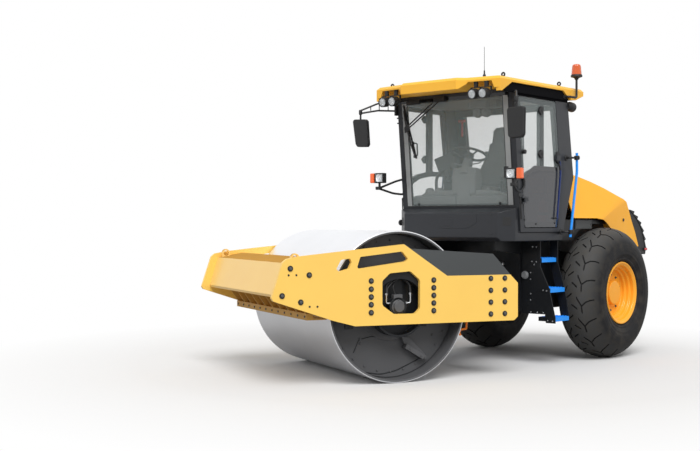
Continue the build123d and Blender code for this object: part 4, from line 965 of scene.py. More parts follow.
print("grooves are", GROOVE_DEPTH, "m deep")

# %% [markdown]
# The tread is paler than the sidewalls, which is a painted highlight, and brown dust lies
# in patches. The grooves are almost black, which is painted shade. Fine rings follow the
# wheel round the sidewall, as on any tyre that came out of a mould.

# %% Rubber, and the two tyres
def rubber():
    """Tyre rubber: paler on the tread as a painted highlight, dusty in patches, ringed on the sidewall."""
    tyre = Finish("tyre_rubber", specular_ior_level=0.22)
    x, y, z = tyre.split(tyre.places(Matrix.Translation(AXLE)))
    radius = (x * x + z * z).of("SQRT")
    crown = radius.smooth(0.60, 0.76)
    dust = tyre.noise(9, 5)
    # the paler crown is a painted highlight
    crown_highlight = tyre.blend(crown, (0.0125, 0.0123, 0.0135), (0.070, 0.069, 0.067))
    tyre.set("Base Color", tyre.blend(dust.smooth(0.42, 0.72) * 0.4, crown_highlight, (0.070, 0.061, 0.048)))
    tyre.set("Roughness", 0.60 + 0.16 * dust)
    rings = (radius * 190).of("SINE").smooth(0.2, 1.0)
    side = 1 - radius.smooth(0.585, 0.60)
    fine = tyre.noise(240, 2)
    tyre.relief(rings * side * 0.5 + fine * 0.25, 0.0015)
    return tyre.material


tyre_rubber = rubber()
# painted shade: near-black rubber for the grooves' walls and floors
shaded_groove_rubber = moulded("shaded_groove_rubber", (0.006, 0.006, 0.0065), 0.8)
for side, way in SIDES:
    middle = AXLE + Vector((0, way * TYRE_MIDDLE, 0))
    bm = join(bmesh.new(), carcass(way), facing(middle, (0, way, 0)))
    finished(bm, "tyre_" + side + "_grooved", "wheel_" + side, [tyre_rubber, shaded_groove_rubber],
             stands_for="tyre_" + side, smooth=40)

# %% [markdown]
# ## Rims
# The rim is a deep pressed dish: a rolled lip, two stepped wells and a flat disc far
# inside with a raised hub. All of it is one section spun round. The wheel nuts stand on
# a pitch circle round the hub, and the valve comes through the well.

# %% Stepped rims, nuts and valves
RIM_SECTION = [  # radius, distance outboard of the tyre's middle
    (0.340, -0.228), (0.366, -0.232), (0.366, -0.2155), (0.3345, -0.2155), (0.3345, 0.2155),
    (0.362, 0.2155), (0.368, 0.220), (0.368, 0.231), (0.362, 0.236), (0.352, 0.235),
    (0.344, 0.226), (0.330, 0.220), (0.324, 0.212), (0.322, 0.178), (0.318, 0.172),
    (0.302, 0.168), (0.298, 0.162), (0.296, 0.132), (0.291, 0.126), (0.276, 0.122),
    (0.272, 0.116), (0.270, 0.086), (0.264, 0.079), (0.156, 0.078), (0.146, 0.084),
    (0.142, 0.130), (0.137, 0.139), (0.128, 0.143), (0.000, 0.143),
]
RIM_BACK = [(0.000, 0.139), (0.0705, 0.139), (0.0705, 0.050), (0.290, 0.050), (0.300, -0.200)]
WHEEL_NUTS, NUT_CIRCLE, DISH_FACE = 10, 0.212, 0.0785
for side, way in SIDES:
    middle = AXLE + Vector((0, way * TYRE_MIDDLE, 0))
    bm = turned(bmesh.new(), RIM_SECTION + RIM_BACK, middle, (0, way, 0), 96, closed=True)
    finished(bm, f"rim_{side}_stepped", "wheel_" + side, rim_paint, stands_for="rim_" + side,
             smooth=28)
    nuts = [middle + Vector((forward, way * DISH_FACE, up))
            for forward, up in circle(NUT_CIRCLE, WHEEL_NUTS)]
    bm = bolts(bmesh.new(), nuts, (0, way, 0), 0.014, 0.004, 20)
    bolts(bm, nuts, (0, way, 0), 0.0105, 0.012)
    bolts(bm, [n + Vector((0, way * 0.010, 0)) for n in nuts], (0, way, 0), 0.006, 0.008, 12)
    finished(bm, f"wheel_nuts_{side}", "wheel_" + side, bolt_grey)
    valve = [middle + Vector((0.262, way * y, 0.096)) for y in (0.078, 0.120, 0.140)]
    bm = bar(bmesh.new(), valve, 0.006, 0.02, 4)
    finished(bm, f"tyre_valve_{side}", "wheel_" + side, chrome)

# %% [markdown]
# ## Hood and louvred tail
# The tail is a stack of overlapping louvres like roof tiles, each standing off below
# the one above to let air out. One wedge, pushed across the machine, makes each tile;
# the steps follow the curve of the tail. Red reflectors stand in the tail's lower
# corners, and a round latch on each side holds the hood down.

# %% Louvres, reflectors and latches
TAIL_CURVE = [Vector((-2.606, 0, 1.770)), Vector((-2.757, 0, 1.690)), Vector((-2.888, 0, 1.585)),
              Vector((-2.980, 0, 1.446)), Vector((-3.046, 0, 1.262))]
LOUVRES, TAIL_HALF, STAND_OFF, TAIL_LIMIT = 6, 0.648, 0.040, 3.056
lengths = [(b - a).length for a, b in zip(TAIL_CURVE, TAIL_CURVE[1:])]


def along_tail(distance):
    """A point some distance down the tail."""
    for start, end, length in zip(TAIL_CURVE, TAIL_CURVE[1:], lengths):
        if distance <= length:
            return start.lerp(end, distance / length)
        distance -= length
    return TAIL_CURVE[-1].copy()


bm = bmesh.new()
pitch = sum(lengths) / LOUVRES
for step in range(LOUVRES):
    high, low = along_tail(step * pitch), along_tail((step + 1) * pitch)
    out = (low - high).cross(Vector((0, 1, 0))).normalized()
    out = out if out.x < 0 else -out
    reach = min(STAND_OFF, TAIL_LIMIT + low.x)
    tile = [high - out * 0.006, high + out * 0.002, low + out * reach, low + out * (reach - 0.008),
            low - out * 0.006]
    plate(bm, [p + Vector((0, -TAIL_HALF, 0)) for p in tile], (0, 2 * TAIL_HALF, 0), 0.002, REAR)
finished(bm, "tail_louvres", "hood", black_plastic)
bm, latches = bmesh.new(), bmesh.new()
for way in WAYS:
    brick(bm, (-3.054, way * 0.652 - 0.010, 1.250), (-2.985, way * 0.652 + 0.010, 1.276), 0.004,
          REAR)
    brick(latches, (-3.048, way * TAIL_HALF - 0.010, 1.244),
          (-2.975, way * TAIL_HALF + 0.008, 1.282), 0.004, REAR)
    turned(latches, [(0, 0.006), (0.016, 0.005), (0.020, 0), (0, 0)],
           REAR @ Vector((-2.300, way * 0.716, 1.640)), (0, way, 0), 20)
finished(bm, "tail_reflectors", "hood", red_lens)
finished(latches, "hood_latches", "hood", black_plastic)

# %% [markdown]
# ## Cab glass
# Cab glass is glued on, and a printed black line round the edge hides the glue. The
# paler band beside the pillars is a painted reflection. The pane is cut along those lines
# with bisect planes, so that each strip gets a finish of its own and the edges stay crisp.

# %% Bordered windscreen
border_black = glazing("border_black", (0.010, 0.010, 0.011), 0.97)
# painted reflection: the pale band on the screen's ends beside the pillars
pillar_reflection_band = glazing("pillar_reflection_band", (0.34, 0.35, 0.35), 0.90)
border_dark = glazing("border_dark", (0.030, 0.032, 0.035), 0.95)
SCREEN_FOOT, SCREEN_HEAD = Vector((0.210, 0, 1.787)), Vector((0.327, 0, 3.011))
SCREEN_HALF, LINE_WIDTH, BAND_INNER = 0.735, 0.008, 0.664
SCREEN_LOW, SCREEN_HIGH = 1.797, 2.975


def on_screen(across, height, off=0.0):
    """A point on the windscreen's outer face at a height, or in front of it."""
    rise = (height - SCREEN_FOOT.z) / (SCREEN_HEAD.z - SCREEN_FOOT.z)
    return SCREEN_FOOT.lerp(SCREEN_HEAD, rise) + Vector((off, across, 0))


bm = copied("windscreen")
for across in (SCREEN_HALF - LINE_WIDTH, BAND_INNER, BAND_INNER - LINE_WIDTH):
    cut(bm, (0, across, 0), (0, 1, 0))
    cut(bm, (0, -across, 0), (0, 1, 0))
for height in (SCREEN_LOW, SCREEN_HIGH):
    cut(bm, (0, 0, height), (0, 0, 1))
# the ends beside the pillars take the painted reflection
tint(bm, REAR, lambda p: abs(p.y) > BAND_INNER, 2)
tint(bm, REAR, lambda p: BAND_INNER - LINE_WIDTH < abs(p.y) < BAND_INNER
     or abs(p.y) > SCREEN_HALF - LINE_WIDTH or not SCREEN_LOW < p.z < SCREEN_HIGH)
finished(bm, "windscreen_bordered", "rear_chassis", [clear_glass, border_black, pillar_reflection_band],
         stands_for="windscreen")

# %% [markdown]
# The left door has a dark band along an arch that rises to the rear, like the bar of the
# door behind it, and its pane below the arch carries a dark film as well. The right
# door's pane is cut along the same arch but stays clear.

# %% Door panes cut along the arch
ARCH_START, ARCH_SLOPE, ARCH_BAND = Vector((-0.10, 0, 2.180)), -0.478, Vector((0, 0, 0.050))


def above_arch(point):
    """How far a point of a door pane stands above the arch."""
    return point.z - ARCH_START.z - min(0, ARCH_SLOPE * (point.x - ARCH_START.x))


for side, way in SIDES:
    bm = copied("door_glass_" + side)
    for line in (ARCH_START, ARCH_START + ARCH_BAND):
        cut(bm, line, (0, 0, 1))
        cut(bm, line, (-ARCH_SLOPE, 0, 1))
    if side == "left":
        tint(bm, REAR, lambda p: above_arch(p) < 0)
        tint(bm, REAR, lambda p: 0 < above_arch(p) < ARCH_BAND.z, 2)
    finished(bm, f"door_glass_{side}_cut", "door_" + side,
             [clear_glass, tinted_glass, border_dark], stands_for="door_glass_" + side)
bm = bmesh.new()
for across in (-0.560, 0.560):
    bolts(bm, [on_screen(across, 1.815)], (1, 0, -0.09), 0.016, 0.006, 16, REAR)
finished(bm, "glass_buttons", "rear_chassis", bolt_black)

# %% [markdown]
# ## Door fittings
# Each door pane opens on two block hinges on the middle post and shuts with a turn
# knob. The door itself has a push-button latch in a raised black handle, a blue bar to
# pull it by, and rubber stops.

# %% Hinges, knobs, latches and pulls
door_blue = painted("door_blue", (0.004, 0.020, 0.120), 0.3)
DOOR_FACE, PULL_OUT = 0.8005, 0.824
for side, way in SIDES:
    bm, face, out = bmesh.new(), way * DOOR_FACE, way * PULL_OUT
    for height in (2.842, 2.361):
        block = [(-0.205, face, height + 0.048), (-0.160, face, height + 0.006),
                 (-0.160, face, height - 0.006), (-0.205, face, height - 0.048),
                 (-0.250, face, height - 0.040), (-0.250, face, height + 0.040)]
        plate(bm, block, (0, way * 0.022, 0), 0.004, REAR)
        turned(bm, [(0, 0.028), (0.010, 0.026), (0.013, 0.020), (0.013, 0), (0, 0)],
               REAR @ Vector((-0.222, face, height)), (0, way, 0), 20)
    knob = [(0, 0.034), (0.018, 0.034), (0.024, 0.029), (0.024, 0.020), (0.012, 0.014),
            (0.012, 0.004), (0.026, 0.003), (0.026, 0), (0, 0)]
    turned(bm, knob, REAR @ Vector((0.130, face, 2.371)), (0, way, 0), 28)
    plate(bm, [(0.165, face, 2.380), (0.165, face, 2.362), (0.090, face, 2.358),
               (0.075, face, 2.371), (0.090, face, 2.384)], (0, way * 0.012, 0), 0.003, REAR)
    latch = [(-0.600, face, 2.395), (-0.560, face, 2.410), (-0.530, face, 2.380),
             (-0.520, face, 2.310), (-0.550, face, 2.275), (-0.596, face, 2.290)]
    plate(bm, latch, (0, way * 0.026, 0), 0.006, REAR)
    for x, z in ((0.105, 1.640), (-0.520, 1.600), (-0.130, 1.590)):
        turned(bm, [(0, 0.008), (0.008, 0.007), (0.011, 0), (0, 0)],
               REAR @ Vector((x, face, z)), (0, way, 0), 16)
    bar(bm, [(-0.585, way * 0.802, 2.290), (-0.585, way * 0.822, 2.260),
             (-0.600, way * 0.826, 2.200)], 0.012, 0.02, 4, REAR)
    bar(bm, [(-0.490, way * 0.802, 1.655), (-0.490, out, 1.655), (-0.560, out, 1.655),
             (-0.560, way * 0.802, 1.655)], 0.009, 0.02, 4, REAR)
    finished(bm, "door_fittings_" + side, "door_" + side, black_plastic)
    pull = bar(bmesh.new(), [(-0.588, out, 2.330), (-0.606, out, 2.150), (-0.535, out, 1.640)],
               0.011, 0.04, 6, REAR)
    finished(pull, "door_pull_" + side, "door_" + side, door_blue)

# %% [markdown]
# ## Grab rails
# The rails beside the doors are one long blue tube each, carried by black stand-offs
# with split clamps. The tube is drawn through three corners and bent at the middle one.

# %% Blue tubes in black clamps
RAIL_OUT = 0.895
CLAMPS = ((-0.845, -0.770, 2.345), (-0.712, -0.660, 1.500))   # rail, wall, height
SPLIT_CLAMP = [(0.0155, -0.024), (0.027, -0.024), (0.030, -0.020), (0.030, 0.020),
               (0.027, 0.024), (0.0155, 0.024)]
rails, clamps = bmesh.new(), bmesh.new()
for way in WAYS:
    out = way * RAIL_OUT
    bar(rails, [(-0.845, out, 2.400), (-0.848, out, 2.185), (-0.700, out, 1.440)], 0.015, 0.07,
        8, REAR)
    for x, wall, z in CLAMPS:
        bar(clamps, [(wall, way * 0.770, z), (wall, way * 0.850, z), (x, out, z)], 0.012, 0.02,
            5, REAR)
        turned(clamps, SPLIT_CLAMP, REAR @ Vector((x, out, z)), (0.1, 0, 1), 24, closed=True)
        brick(clamps, (x - 0.012, way * 0.915 - 0.014, z - 0.014),
              (x + 0.012, way * 0.915 + 0.014, z + 0.014), 0.003, REAR)
        turned(clamps, [(0, 0.010), (0.030, 0.010), (0.034, 0.006), (0.034, 0), (0, 0)],
               REAR @ Vector((wall, way * 0.800, z)), (0, way, 0), 24)
finished(rails, "grab_rail_tubes", "rear_chassis", step_blue, stands_for="grab_rails")
finished(clamps, "grab_rail_clamps", "rear_chassis", black_plastic)

# %% [markdown]
# ## Lamps
# A work lamp is a cup with a bright bowl inside, a bulb cap at the bowl's middle and a
# clear lens. Modelling the bowl, rather than painting a white disc, is what makes a
# lamp read as a lamp from any side. Each cup hangs in a stirrup from the roof.

# %% Round work lamps
CUP = [(0, -0.030), (0.026, -0.028), (0.036, -0.018), (0.045, 0.004), (0.0465, 0.018),
       (0.0465, 0.066), (0.0445, 0.072), (0.0400, 0.072), (0.0375, 0.066), (0.0375, 0.020),
       (0, 0.016)]
BOWL = [(0, 0.020), (0.0374, 0.021), (0.0374, 0.064), (0.0335, 0.050), (0.0260, 0.038),
        (0.0150, 0.031), (0, 0.029)]
CAP = [(0, 0.052), (0.007, 0.051), (0.011, 0.046), (0.012, 0.030), (0, 0.030)]
LENS = [(0, 0.0695), (0.024, 0.0685), (0.0385, 0.0655), (0.0385, 0.0640), (0, 0.0640)]
lamp_glass = lens("lamp_glass", (0.80, 0.84, 0.87), 0.0, 0.30)
lamp_bright = plated("lamp_bright", (0.93, 0.94, 0.95), 0.08)
lamp_silver = plated("lamp_silver", (0.93, 0.94, 0.95), 0.55)
lamp_white = moulded("lamp_white", (0.80, 0.80, 0.78), 0.4)
cups, bowls, bulbs, lenses = (bmesh.new() for _ in range(4))
LAMP_SIZE, STIRRUP_HALF = 1.2, 0.0595


def lamp(place, axis):
    """One round lamp: cup, bowl, bulb cap and lens."""
    for bm, section in ((cups, CUP), (bowls, BOWL), (bulbs, CAP), (lenses, LENS)):
        turned(bm, [(r * LAMP_SIZE, d * LAMP_SIZE) for r, d in section], REAR @ place, axis, 32)
    bolts(bulbs, [place + Vector(axis) * 0.050 * LAMP_SIZE], axis, 0.004, 0.006, 8, REAR)


for way in WAYS:
    for across in (0.547, 0.682):
        place = Vector((0.655, way * across, 2.973))
        lamp(place, (1, 0, -0.12))
        for arm in (-STIRRUP_HALF, STIRRUP_HALF):
            brick(cups, place + Vector((-0.014, arm - 0.003, -0.012)),
                  place + Vector((0.012, arm + 0.003, 0.066)), 0.001, REAR)
            bolts(cups, [place + Vector((0, arm * 1.04, 0))], (0, arm, 0), 0.009, 0.005, 6, REAR)
        brick(cups, place + Vector((-0.014, -0.0625, 0.062)),
              place + Vector((0.012, 0.0625, 0.069)), 0.001, REAR)
        brick(cups, place + Vector((-0.016, -0.022, 0.066)),
              place + Vector((0.010, 0.022, 0.128)), 0.003, REAR)
    rear = Vector((-0.842, way * 0.790, 2.940))
    lamp(rear, (-1, 0, -0.1))
    turned(cups, [(0, 0.030), (0.034, 0.026), (0.047, 0.010), (0.052, -0.012), (0.050, -0.030),
                  (0, -0.030)], REAR @ rear, (1, 0, 0.1), 32)
    bar(cups, [rear + Vector((0, 0, -0.02)), rear + Vector((0.030, way * 0.01, -0.030)),
               (-0.790, way * 0.785, 2.925)], 0.012, 0.02, 4, REAR)
finished(cups, "work_lamp_cups", "rear_chassis", black_plastic, stands_for="work_lamps")
finished(bowls, "work_lamp_bowls", "rear_chassis", lamp_bright)
finished(bulbs, "work_lamp_bulbs", "rear_chassis", lamp_white)
finished(lenses, "work_lamp_lenses", "rear_chassis", lamp_glass)

# %% [markdown]
# ## Side lamps
# Each side lamp pairs a framed square headlamp with an amber marker. It stands on a
# looped bar of bent tube, whose two legs join round the front pillar. The headlamp's
# frame is a box whose front is inset and then pushed in, which leaves a rim.

# %% Square headlamps, amber markers and looped bars
inner, outer, top, foot = 0.838, 0.963, 2.178, 2.062
FRAME_RIM, FRAME_DIP = 0.013, 0.026
SQUARE_BOWL = [(0, -0.012), (0.043, -0.012), (0.043, 0.013), (0.036, 0.004), (0.020, -0.004),
               (0, -0.006)]
frames, bowls, markers, lenses = (bmesh.new() for _ in range(4))


def headlamp_frame():
    """A box about the origin, open in front, its edges eased."""
    part = bmesh.new()
    bmesh.ops.create_cube(part, size=1)
    bmesh.ops.scale(part, vec=(0.070, outer - inner, top - foot), verts=part.verts)
    front = max(part.faces, key=lambda f: f.calc_center_median().x)
    bmesh.ops.inset_region(part, faces=[front], thickness=FRAME_RIM)
    pushed = bmesh.ops.extrude_face_region(part, geom=[front])
    bmesh.ops.translate(part, vec=(-FRAME_DIP, 0, 0), verts=points_in(pushed))
    if front.is_valid:
        bmesh.ops.delete(part, geom=[front], context="FACES_ONLY")
    return ease(part, 0.005)


for side, way in SIDES:
    middle = Vector((0.505, way * (inner + outer) / 2, (top + foot) / 2))
    join(frames, headlamp_frame(), REAR @ Matrix.Translation(middle))
    turned(bowls, SQUARE_BOWL, REAR @ (middle + Vector((0.020, 0, 0))), (1, 0, 0), 24)
    brick(bowls, middle + Vector((0.004, -0.049, -0.045)), middle + Vector((0.010, 0.049, 0.045)),
          0.002, REAR)
    turned(bowls, [(0, 0.018), (0.008, 0.016), (0.011, -0.008), (0, -0.010)],
           REAR @ (middle + Vector((0.018, 0, 0))), (1, 0, 0), 16)
    brick(lenses, middle + Vector((0.026, -0.050, -0.045)), middle + Vector((0.031, 0.050, 0.045)),
          0.002, REAR)
    brick(markers, (0.478, way * 1.005 - 0.030, foot + 0.002), (0.538, way * 1.005 + 0.030, top),
          0.010, REAR)
    brick(frames, (0.474, way * 0.970 - 0.008, foot + 0.006), (0.526, way * 0.970 + 0.008,
                                                              top - 0.006), 0.003, REAR)
    if side == "left":   # only this lamp has a side shield
        brick(frames, (0.470, 0.805, foot + 0.012), (0.515, 0.838, top + 0.022), 0.006, REAR)
    brick(frames, (0.478, way * 0.926 - 0.032, 1.985), (0.530, way * 0.926 + 0.032, 2.022),
          0.006, REAR)
    turned(frames, [(0, 0.050), (0.012, 0.050), (0.014, 0.040), (0.014, 0), (0, 0)],
           REAR @ Vector((0.504, way * 0.915, 2.018)), (0, 0, 1), 16)
    loop = [(0.505, way * 0.920, 2.004), (0.300, way * 0.845, 2.085), (0.205, way * 0.812, 2.112),
            (0.128, way * 0.812, 2.070), (0.128, way * 0.812, 1.985), (0.205, way * 0.812, 1.935),
            (0.330, way * 0.850, 1.945), (0.505, way * 0.920, 1.998)]
    bar(frames, loop, 0.0125, 0.06, 6, REAR)
    for height in (2.050, 1.990):
        brick(frames, (0.110, way * 0.806 - 0.008, height - 0.014),
              (0.150, way * 0.806 + 0.012, height + 0.014), 0.003, REAR)
finished(frames, "side_lamp_frames", "rear_chassis", black_plastic, stands_for="side_lamps")
finished(bowls, "side_lamp_bowls", "rear_chassis", lamp_silver)
finished(markers, "side_lamp_markers", "rear_chassis", amber_lens)
finished(lenses, "side_lamp_lenses", "rear_chassis", lamp_glass)

# %% [markdown]
# ## Mirrors
# The mirror heads are moulded shells, wider at the top, with the glass let into the
# back. A pair of thin bars with cross braces carries each one. The right head is set
# leaning, with its foot further in than its top.

# %% Mirrors on braced arms
MIRROR_X, MIRROR_TOP, MIRROR_LEAN = 0.667, 2.800, {"left": 0, "right": 0.14}
MIRROR_OUTLINE = ((0.958, 2.772), (0.978, 2.794), (1.146, 2.802), (1.168, 2.780),
                  (1.162, 2.512), (1.142, 2.480), (1.000, 2.474), (0.974, 2.500))
BRACES = ((0.400, 0.872, 0.094), (0.485, 0.936, 0.078), (0.570, 0.993, 0.050))   # x, y, length
heads, arms, glasses = bmesh.new(), bmesh.new(), bmesh.new()
for side, way in SIDES:
    outline = [(MIRROR_X, way * y + way * MIRROR_LEAN[side] * (z - MIRROR_TOP), z)
               for y, z in MIRROR_OUTLINE]
    plate(heads, outline, (0.031, 0, 0), 0.013, REAR)
    plate(heads, outline, (-0.022, 0, 0), 0.006, REAR)
    middle = Vector((MIRROR_X, way * 1.066, 2.640))
    inside = [middle + (Vector(p) - middle) * 0.88 + Vector((-0.0235, 0, 0)) for p in outline]
    plate(glasses, inside, (-0.003, 0, 0), 0.001, REAR)
    tip = (0.668, way * 1.064)
    upper = [(0.330, way * 0.820, 3.000), (0.500, way * 0.950, 2.985), (*tip, 2.900)]
    lower = [(0.330, way * 0.820, 2.905), (0.500, way * 0.945, 2.905), (*tip, 2.868)]
    bar(arms, upper, 0.0105, 0.03, 5, REAR)
    bar(arms, lower, 0.0105, 0.03, 5, REAR)
    for x, y, length in BRACES:
        brick(arms, (x - 0.004, way * y - 0.004, 2.902),
              (x + 0.004, way * y + 0.004, 2.902 + length), 0.001, REAR)
    bar(arms, [(*tip, 2.905), (*tip, 2.760)], 0.011, 0.02, 4, REAR)
    turned(arms, [(0, 0.030), (0.016, 0.028), (0.020, 0.020), (0.020, -0.020), (0.016, -0.028),
                  (0, -0.030)], REAR @ Vector((*tip, 2.880)), (0, 0, 1), 20)
    brick(arms, (0.300, way * 0.812 - 0.014, 2.850), (0.345, way * 0.812 + 0.014, 3.030), 0.006,
          REAR)
    bolts(arms, [(0.320, way * 0.826, z) for z in (2.870, 2.950, 3.012)], (0, way, 0), 0.010,
          0.008, 6, REAR)
finished(heads, "mirror_heads", "rear_chassis", black_plastic, stands_for="mirrors")
finished(arms, "mirror_arms", "rear_chassis", black_plastic)
finished(glasses, "mirror_glasses", "rear_chassis", mirror_glass)

# %% [markdown]
# ## On the roof
# The beacon is a tapered amber dome over a stepped base, on a bent bar. The aerial is
# a whip above a short spring, and four round eyes are there to lift the cab by.

# %% Beacon, aerial and lifting eyes
BEACON = REAR @ Vector((-0.855, 0.885, 3.262))
SPRING_COILS, SPRING_RADIUS = 6, 0.0085
EYE_RADIUS, EYE_WIRE, ROOF_TOP = 0.018, 0.009, 3.146
bm = turned(bmesh.new(), [(0, -0.022), (0.020, -0.022), (0.026, -0.006), (0.046, 0.002),
                          (0.066, 0.008), (0.066, 0.024), (0.061, 0.034), (0, 0.034)],
            BEACON, (0, 0, 1), 40)
bar(bm, [(-0.690, 0.826, 3.032), (-0.690, 0.885, 3.032), (-0.855, 0.885, 3.032),
         (-0.855, 0.885, 3.250)], 0.013, 0.06, 6, REAR)
brick(bm, (-0.716, 0.812, 3.014), (-0.664, 0.834, 3.050), 0.004, REAR)
finished(bm, "beacon_base", "rear_chassis", black_plastic, stands_for="beacon")
dome = [(0, 0.034), (0.058, 0.034), (0.0575, 0.050), (0.050, 0.128), (0.045, 0.143),
        (0.034, 0.152), (0, 0.156)]
finished(turned(bmesh.new(), dome, BEACON, (0, 0, 1), 40), "beacon_dome", "rear_chassis",
         beacon_amber)
bm = turned(bmesh.new(), [(0, 0.329), (0.0022, 0.329), (0.0026, 0.080), (0.007, 0.074),
                          (0.0085, 0.040), (0.016, 0.030), (0.018, 0), (0, 0)],
            REAR @ Vector((0.560, 0.590, 3.149)), (0, 0, 1), 20)
for coil in range(SPRING_COILS):
    bar(bm, [(0.560 + SPRING_RADIUS * cos(a), 0.590 + SPRING_RADIUS * sin(a), 3.190 + 0.006 * coil)
             for a in (0, 1.6, 3.2, 4.8, 6.4)], 0.0016, 0.004, 2, REAR)
finished(bm, "aerial_whip", "rear_chassis", black_plastic, stands_for="aerial")
bm = bmesh.new()
eye = [(EYE_RADIUS + out, along) for along, out in circle(EYE_WIRE, 10)]
for x, y in ((0.456, 0.760), (0.456, -0.760), (-0.646, 0.780), (-0.646, -0.780)):
    place = Vector((x, y, ROOF_TOP))
    turned(bm, eye, REAR @ (place + Vector((0, 0, 0.034))), (1, 0, 0), 24, closed=True)
    turned(bm, [(0, 0.014), (0.014, 0.012), (0.022, 0.006), (0.024, 0), (0, 0)],
           REAR @ place, (0, 0, 1), 20)
finished(bm, "lifting_eyes", "rear_chassis", bolt_black)

# %% [markdown]
# ## Wiper
# Two thin parallel arms keep the blade upright as it sweeps. The blade is a rubber
# edge in a channel, hung from one bow. The motor hides in a small black box.

# %% Two arms, a bow and a blade
bm = bmesh.new()
for start, end in ((-0.132, -0.605), (-0.205, -0.655)):
    bar(bm, [on_screen(start, 2.985, 0.045), on_screen(end, 2.700, 0.040)], 0.0080, 0.02, 4, REAR)
    turned(bm, [(0, 0.022), (0.014, 0.020), (0.016, 0), (0, 0)],
           REAR @ on_screen(start, 2.985, 0.026), (1, 0, 0), 20)
plate(bm, [on_screen(y, z, 0.030) for y, z in ((-0.598, 2.715), (-0.612, 2.660), (-0.675, 2.640),
                                             (-0.680, 2.700), (-0.655, 2.725))],
      (0.018, 0, 0), 0.004, REAR)
bar(bm, [on_screen(-0.690, 2.900, 0.020), on_screen(-0.664, 2.760, 0.034),
         on_screen(-0.600, 2.500, 0.034), on_screen(-0.566, 2.380, 0.020)], 0.010, 0.05, 6, REAR)
plate(bm, [on_screen(y, z, 0.002) for y, z in ((-0.706, 2.960), (-0.690, 2.962),
                                             (-0.545, 2.345), (-0.561, 2.341))],
      (0.018, 0, 0), 0.002, REAR)
brick(bm, (0.315, -0.240, 2.960), (0.372, -0.085, 3.020), 0.008, REAR)
brick(bm, (0.322, -0.640, 2.958), (0.356, -0.450, 3.008), 0.006, REAR)
finished(bm, "wiper_arms", "rear_chassis", black_plastic, stands_for="wiper")

# %% [markdown]
# ## Cab body
# The cab's own sheet metal is one paint, except for the near-black boards over the
# doors. The base carries a pressed access panel in front, a small lamp recess near
# each corner, and a fluid cap on its right side.

# %% Cab frame with black boards, and panels on the base
BOARD_FOOT, BOARD_FACE, BASE_FACE = 2.975, 0.795, 0.7825
bm = ease(copied("cab_frame"), 0.005)
cut(bm, (0, 0, BOARD_FOOT), (0, 0, 1))
tint(bm, REAR, lambda p: abs(p.y) > BOARD_FACE and p.z > BOARD_FOOT)
finished(bm, "cab_frame_painted", "rear_chassis", [cab_paint, fascia_black],
         stands_for="cab_frame")
bm, dark = bmesh.new(), bmesh.new()
panel = [(0.3895, y, z) for y, z in ((0.372, 1.694), (-0.232, 1.694), (-0.238, 1.660),
                                     (-0.150, 1.560), (-0.120, 1.540), (0.250, 1.540),
                                     (0.372, 1.600))]
plate(bm, panel, (0.005, 0, 0), 0.002, REAR)
plate(bm, [(0.3925, y, z) for y, z in ((-0.120, 1.655), (-0.105, 1.570), (0.040, 1.560),
                                       (0.055, 1.645))], (0.004, 0, 0), 0.002, REAR)
for way in WAYS:
    bolts(bm, [(0.391, way * 0.560, z) for z in (1.690, 1.480)], (1, 0, 0), 0.008, 0.004, 12, REAR)
    corner = REAR @ Matrix.Translation((0.318, way * 0.717, 0)) @ Matrix.Rotation(
        way * atan2(0.127, 0.146), 4, "Z")
    recess = [(0.0, -0.046, 1.662), (0.0, 0.046, 1.662), (0.0, 0.046, 1.570), (0.0, -0.046, 1.570)]
    plate(dark, recess, (0.004, 0, 0), 0.001, corner)
    bolts(bm, [(x, way * BASE_FACE, 1.500) for x in (-0.300, -0.660, 0.180)], (0, way, 0),
          0.009, 0.005, 12, REAR)
finished(bm, "base_panels", "rear_chassis", cab_paint)
cap = [(0, 0.036), (0.030, 0.034), (0.034, 0.028), (0.034, 0.012), (0.022, 0.010),
       (0.022, 0), (0, 0)]
turned(dark, cap, REAR @ Vector((0.250, -0.781, 1.605)), (0, -1, 0), 24)
finished(dark, "base_recesses", "rear_chassis", black_plastic)
bm = bmesh.new()
for way in WAYS:
    bar(bm, [(0.218, way * 0.803, 1.892), (0.205, way * 0.815, 1.870), (0.200, way * 0.815, 1.780),
             (0.186, way * 0.815, 1.640)], 0.008, 0.03, 5, REAR)
finished(bm, "door_stays", "rear_chassis", black_plastic)

# %% [markdown]
# ## The seat
# A seat cushion is foam pulled tight inside a sewn cover, so it crowns between its
# seams. The cover is woven, and its threads are too fine to model, so they are two
# sine waves, one for each direction of thread, that meet in a bump.

# %% Seat cloth
THREADS = 2600    # radians of thread pattern to the metre


def seat_cloth():
    """A fine woven cover: crossed threads, and a slow fade where it is sat on."""
    cloth = Finish("seat_cloth", roughness=0.9, sheen_weight=0.25, sheen_roughness=0.5)
    x, y, z = cloth.split(cloth.places(REAR))
    warp, weft = (y * THREADS).of("SINE"), ((x + z * 0.6) * THREADS).of("SINE")
    fade = cloth.noise(6, 3)
    cloth.set("Base Color", cloth.blend(fade, (0.150, 0.148, 0.144), (0.205, 0.203, 0.197)))
    cloth.relief(warp * weft + cloth.noise(700, 2), 0.0006)
    return cloth.material


seat_fabric = seat_cloth()
print("woven:", seat_fabric.name)

# %% [markdown] A slightly small copy of each CAD pad is remeshed and blown up a
# little by a short cloth simulation with no gravity. Each point may move only so
# far, which keeps the pad inside its own space.

# %% Skin and stuffing for a pad
VOXEL, SHRINK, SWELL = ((0.007, 0.007, 0.016))
PUFF_PRESSURE, PUFF_FRAMES = 4, 20


def made_real(piece):
    """Gives a piece the mesh that its modifiers make."""
    seen = piece.evaluated_get(bpy.context.evaluated_depsgraph_get())
    fresh = bpy.data.meshes.new_from_object(seen)
    piece.modifiers.clear()
    old, piece.data = piece.data, fresh
    bpy.data.meshes.remove(old)


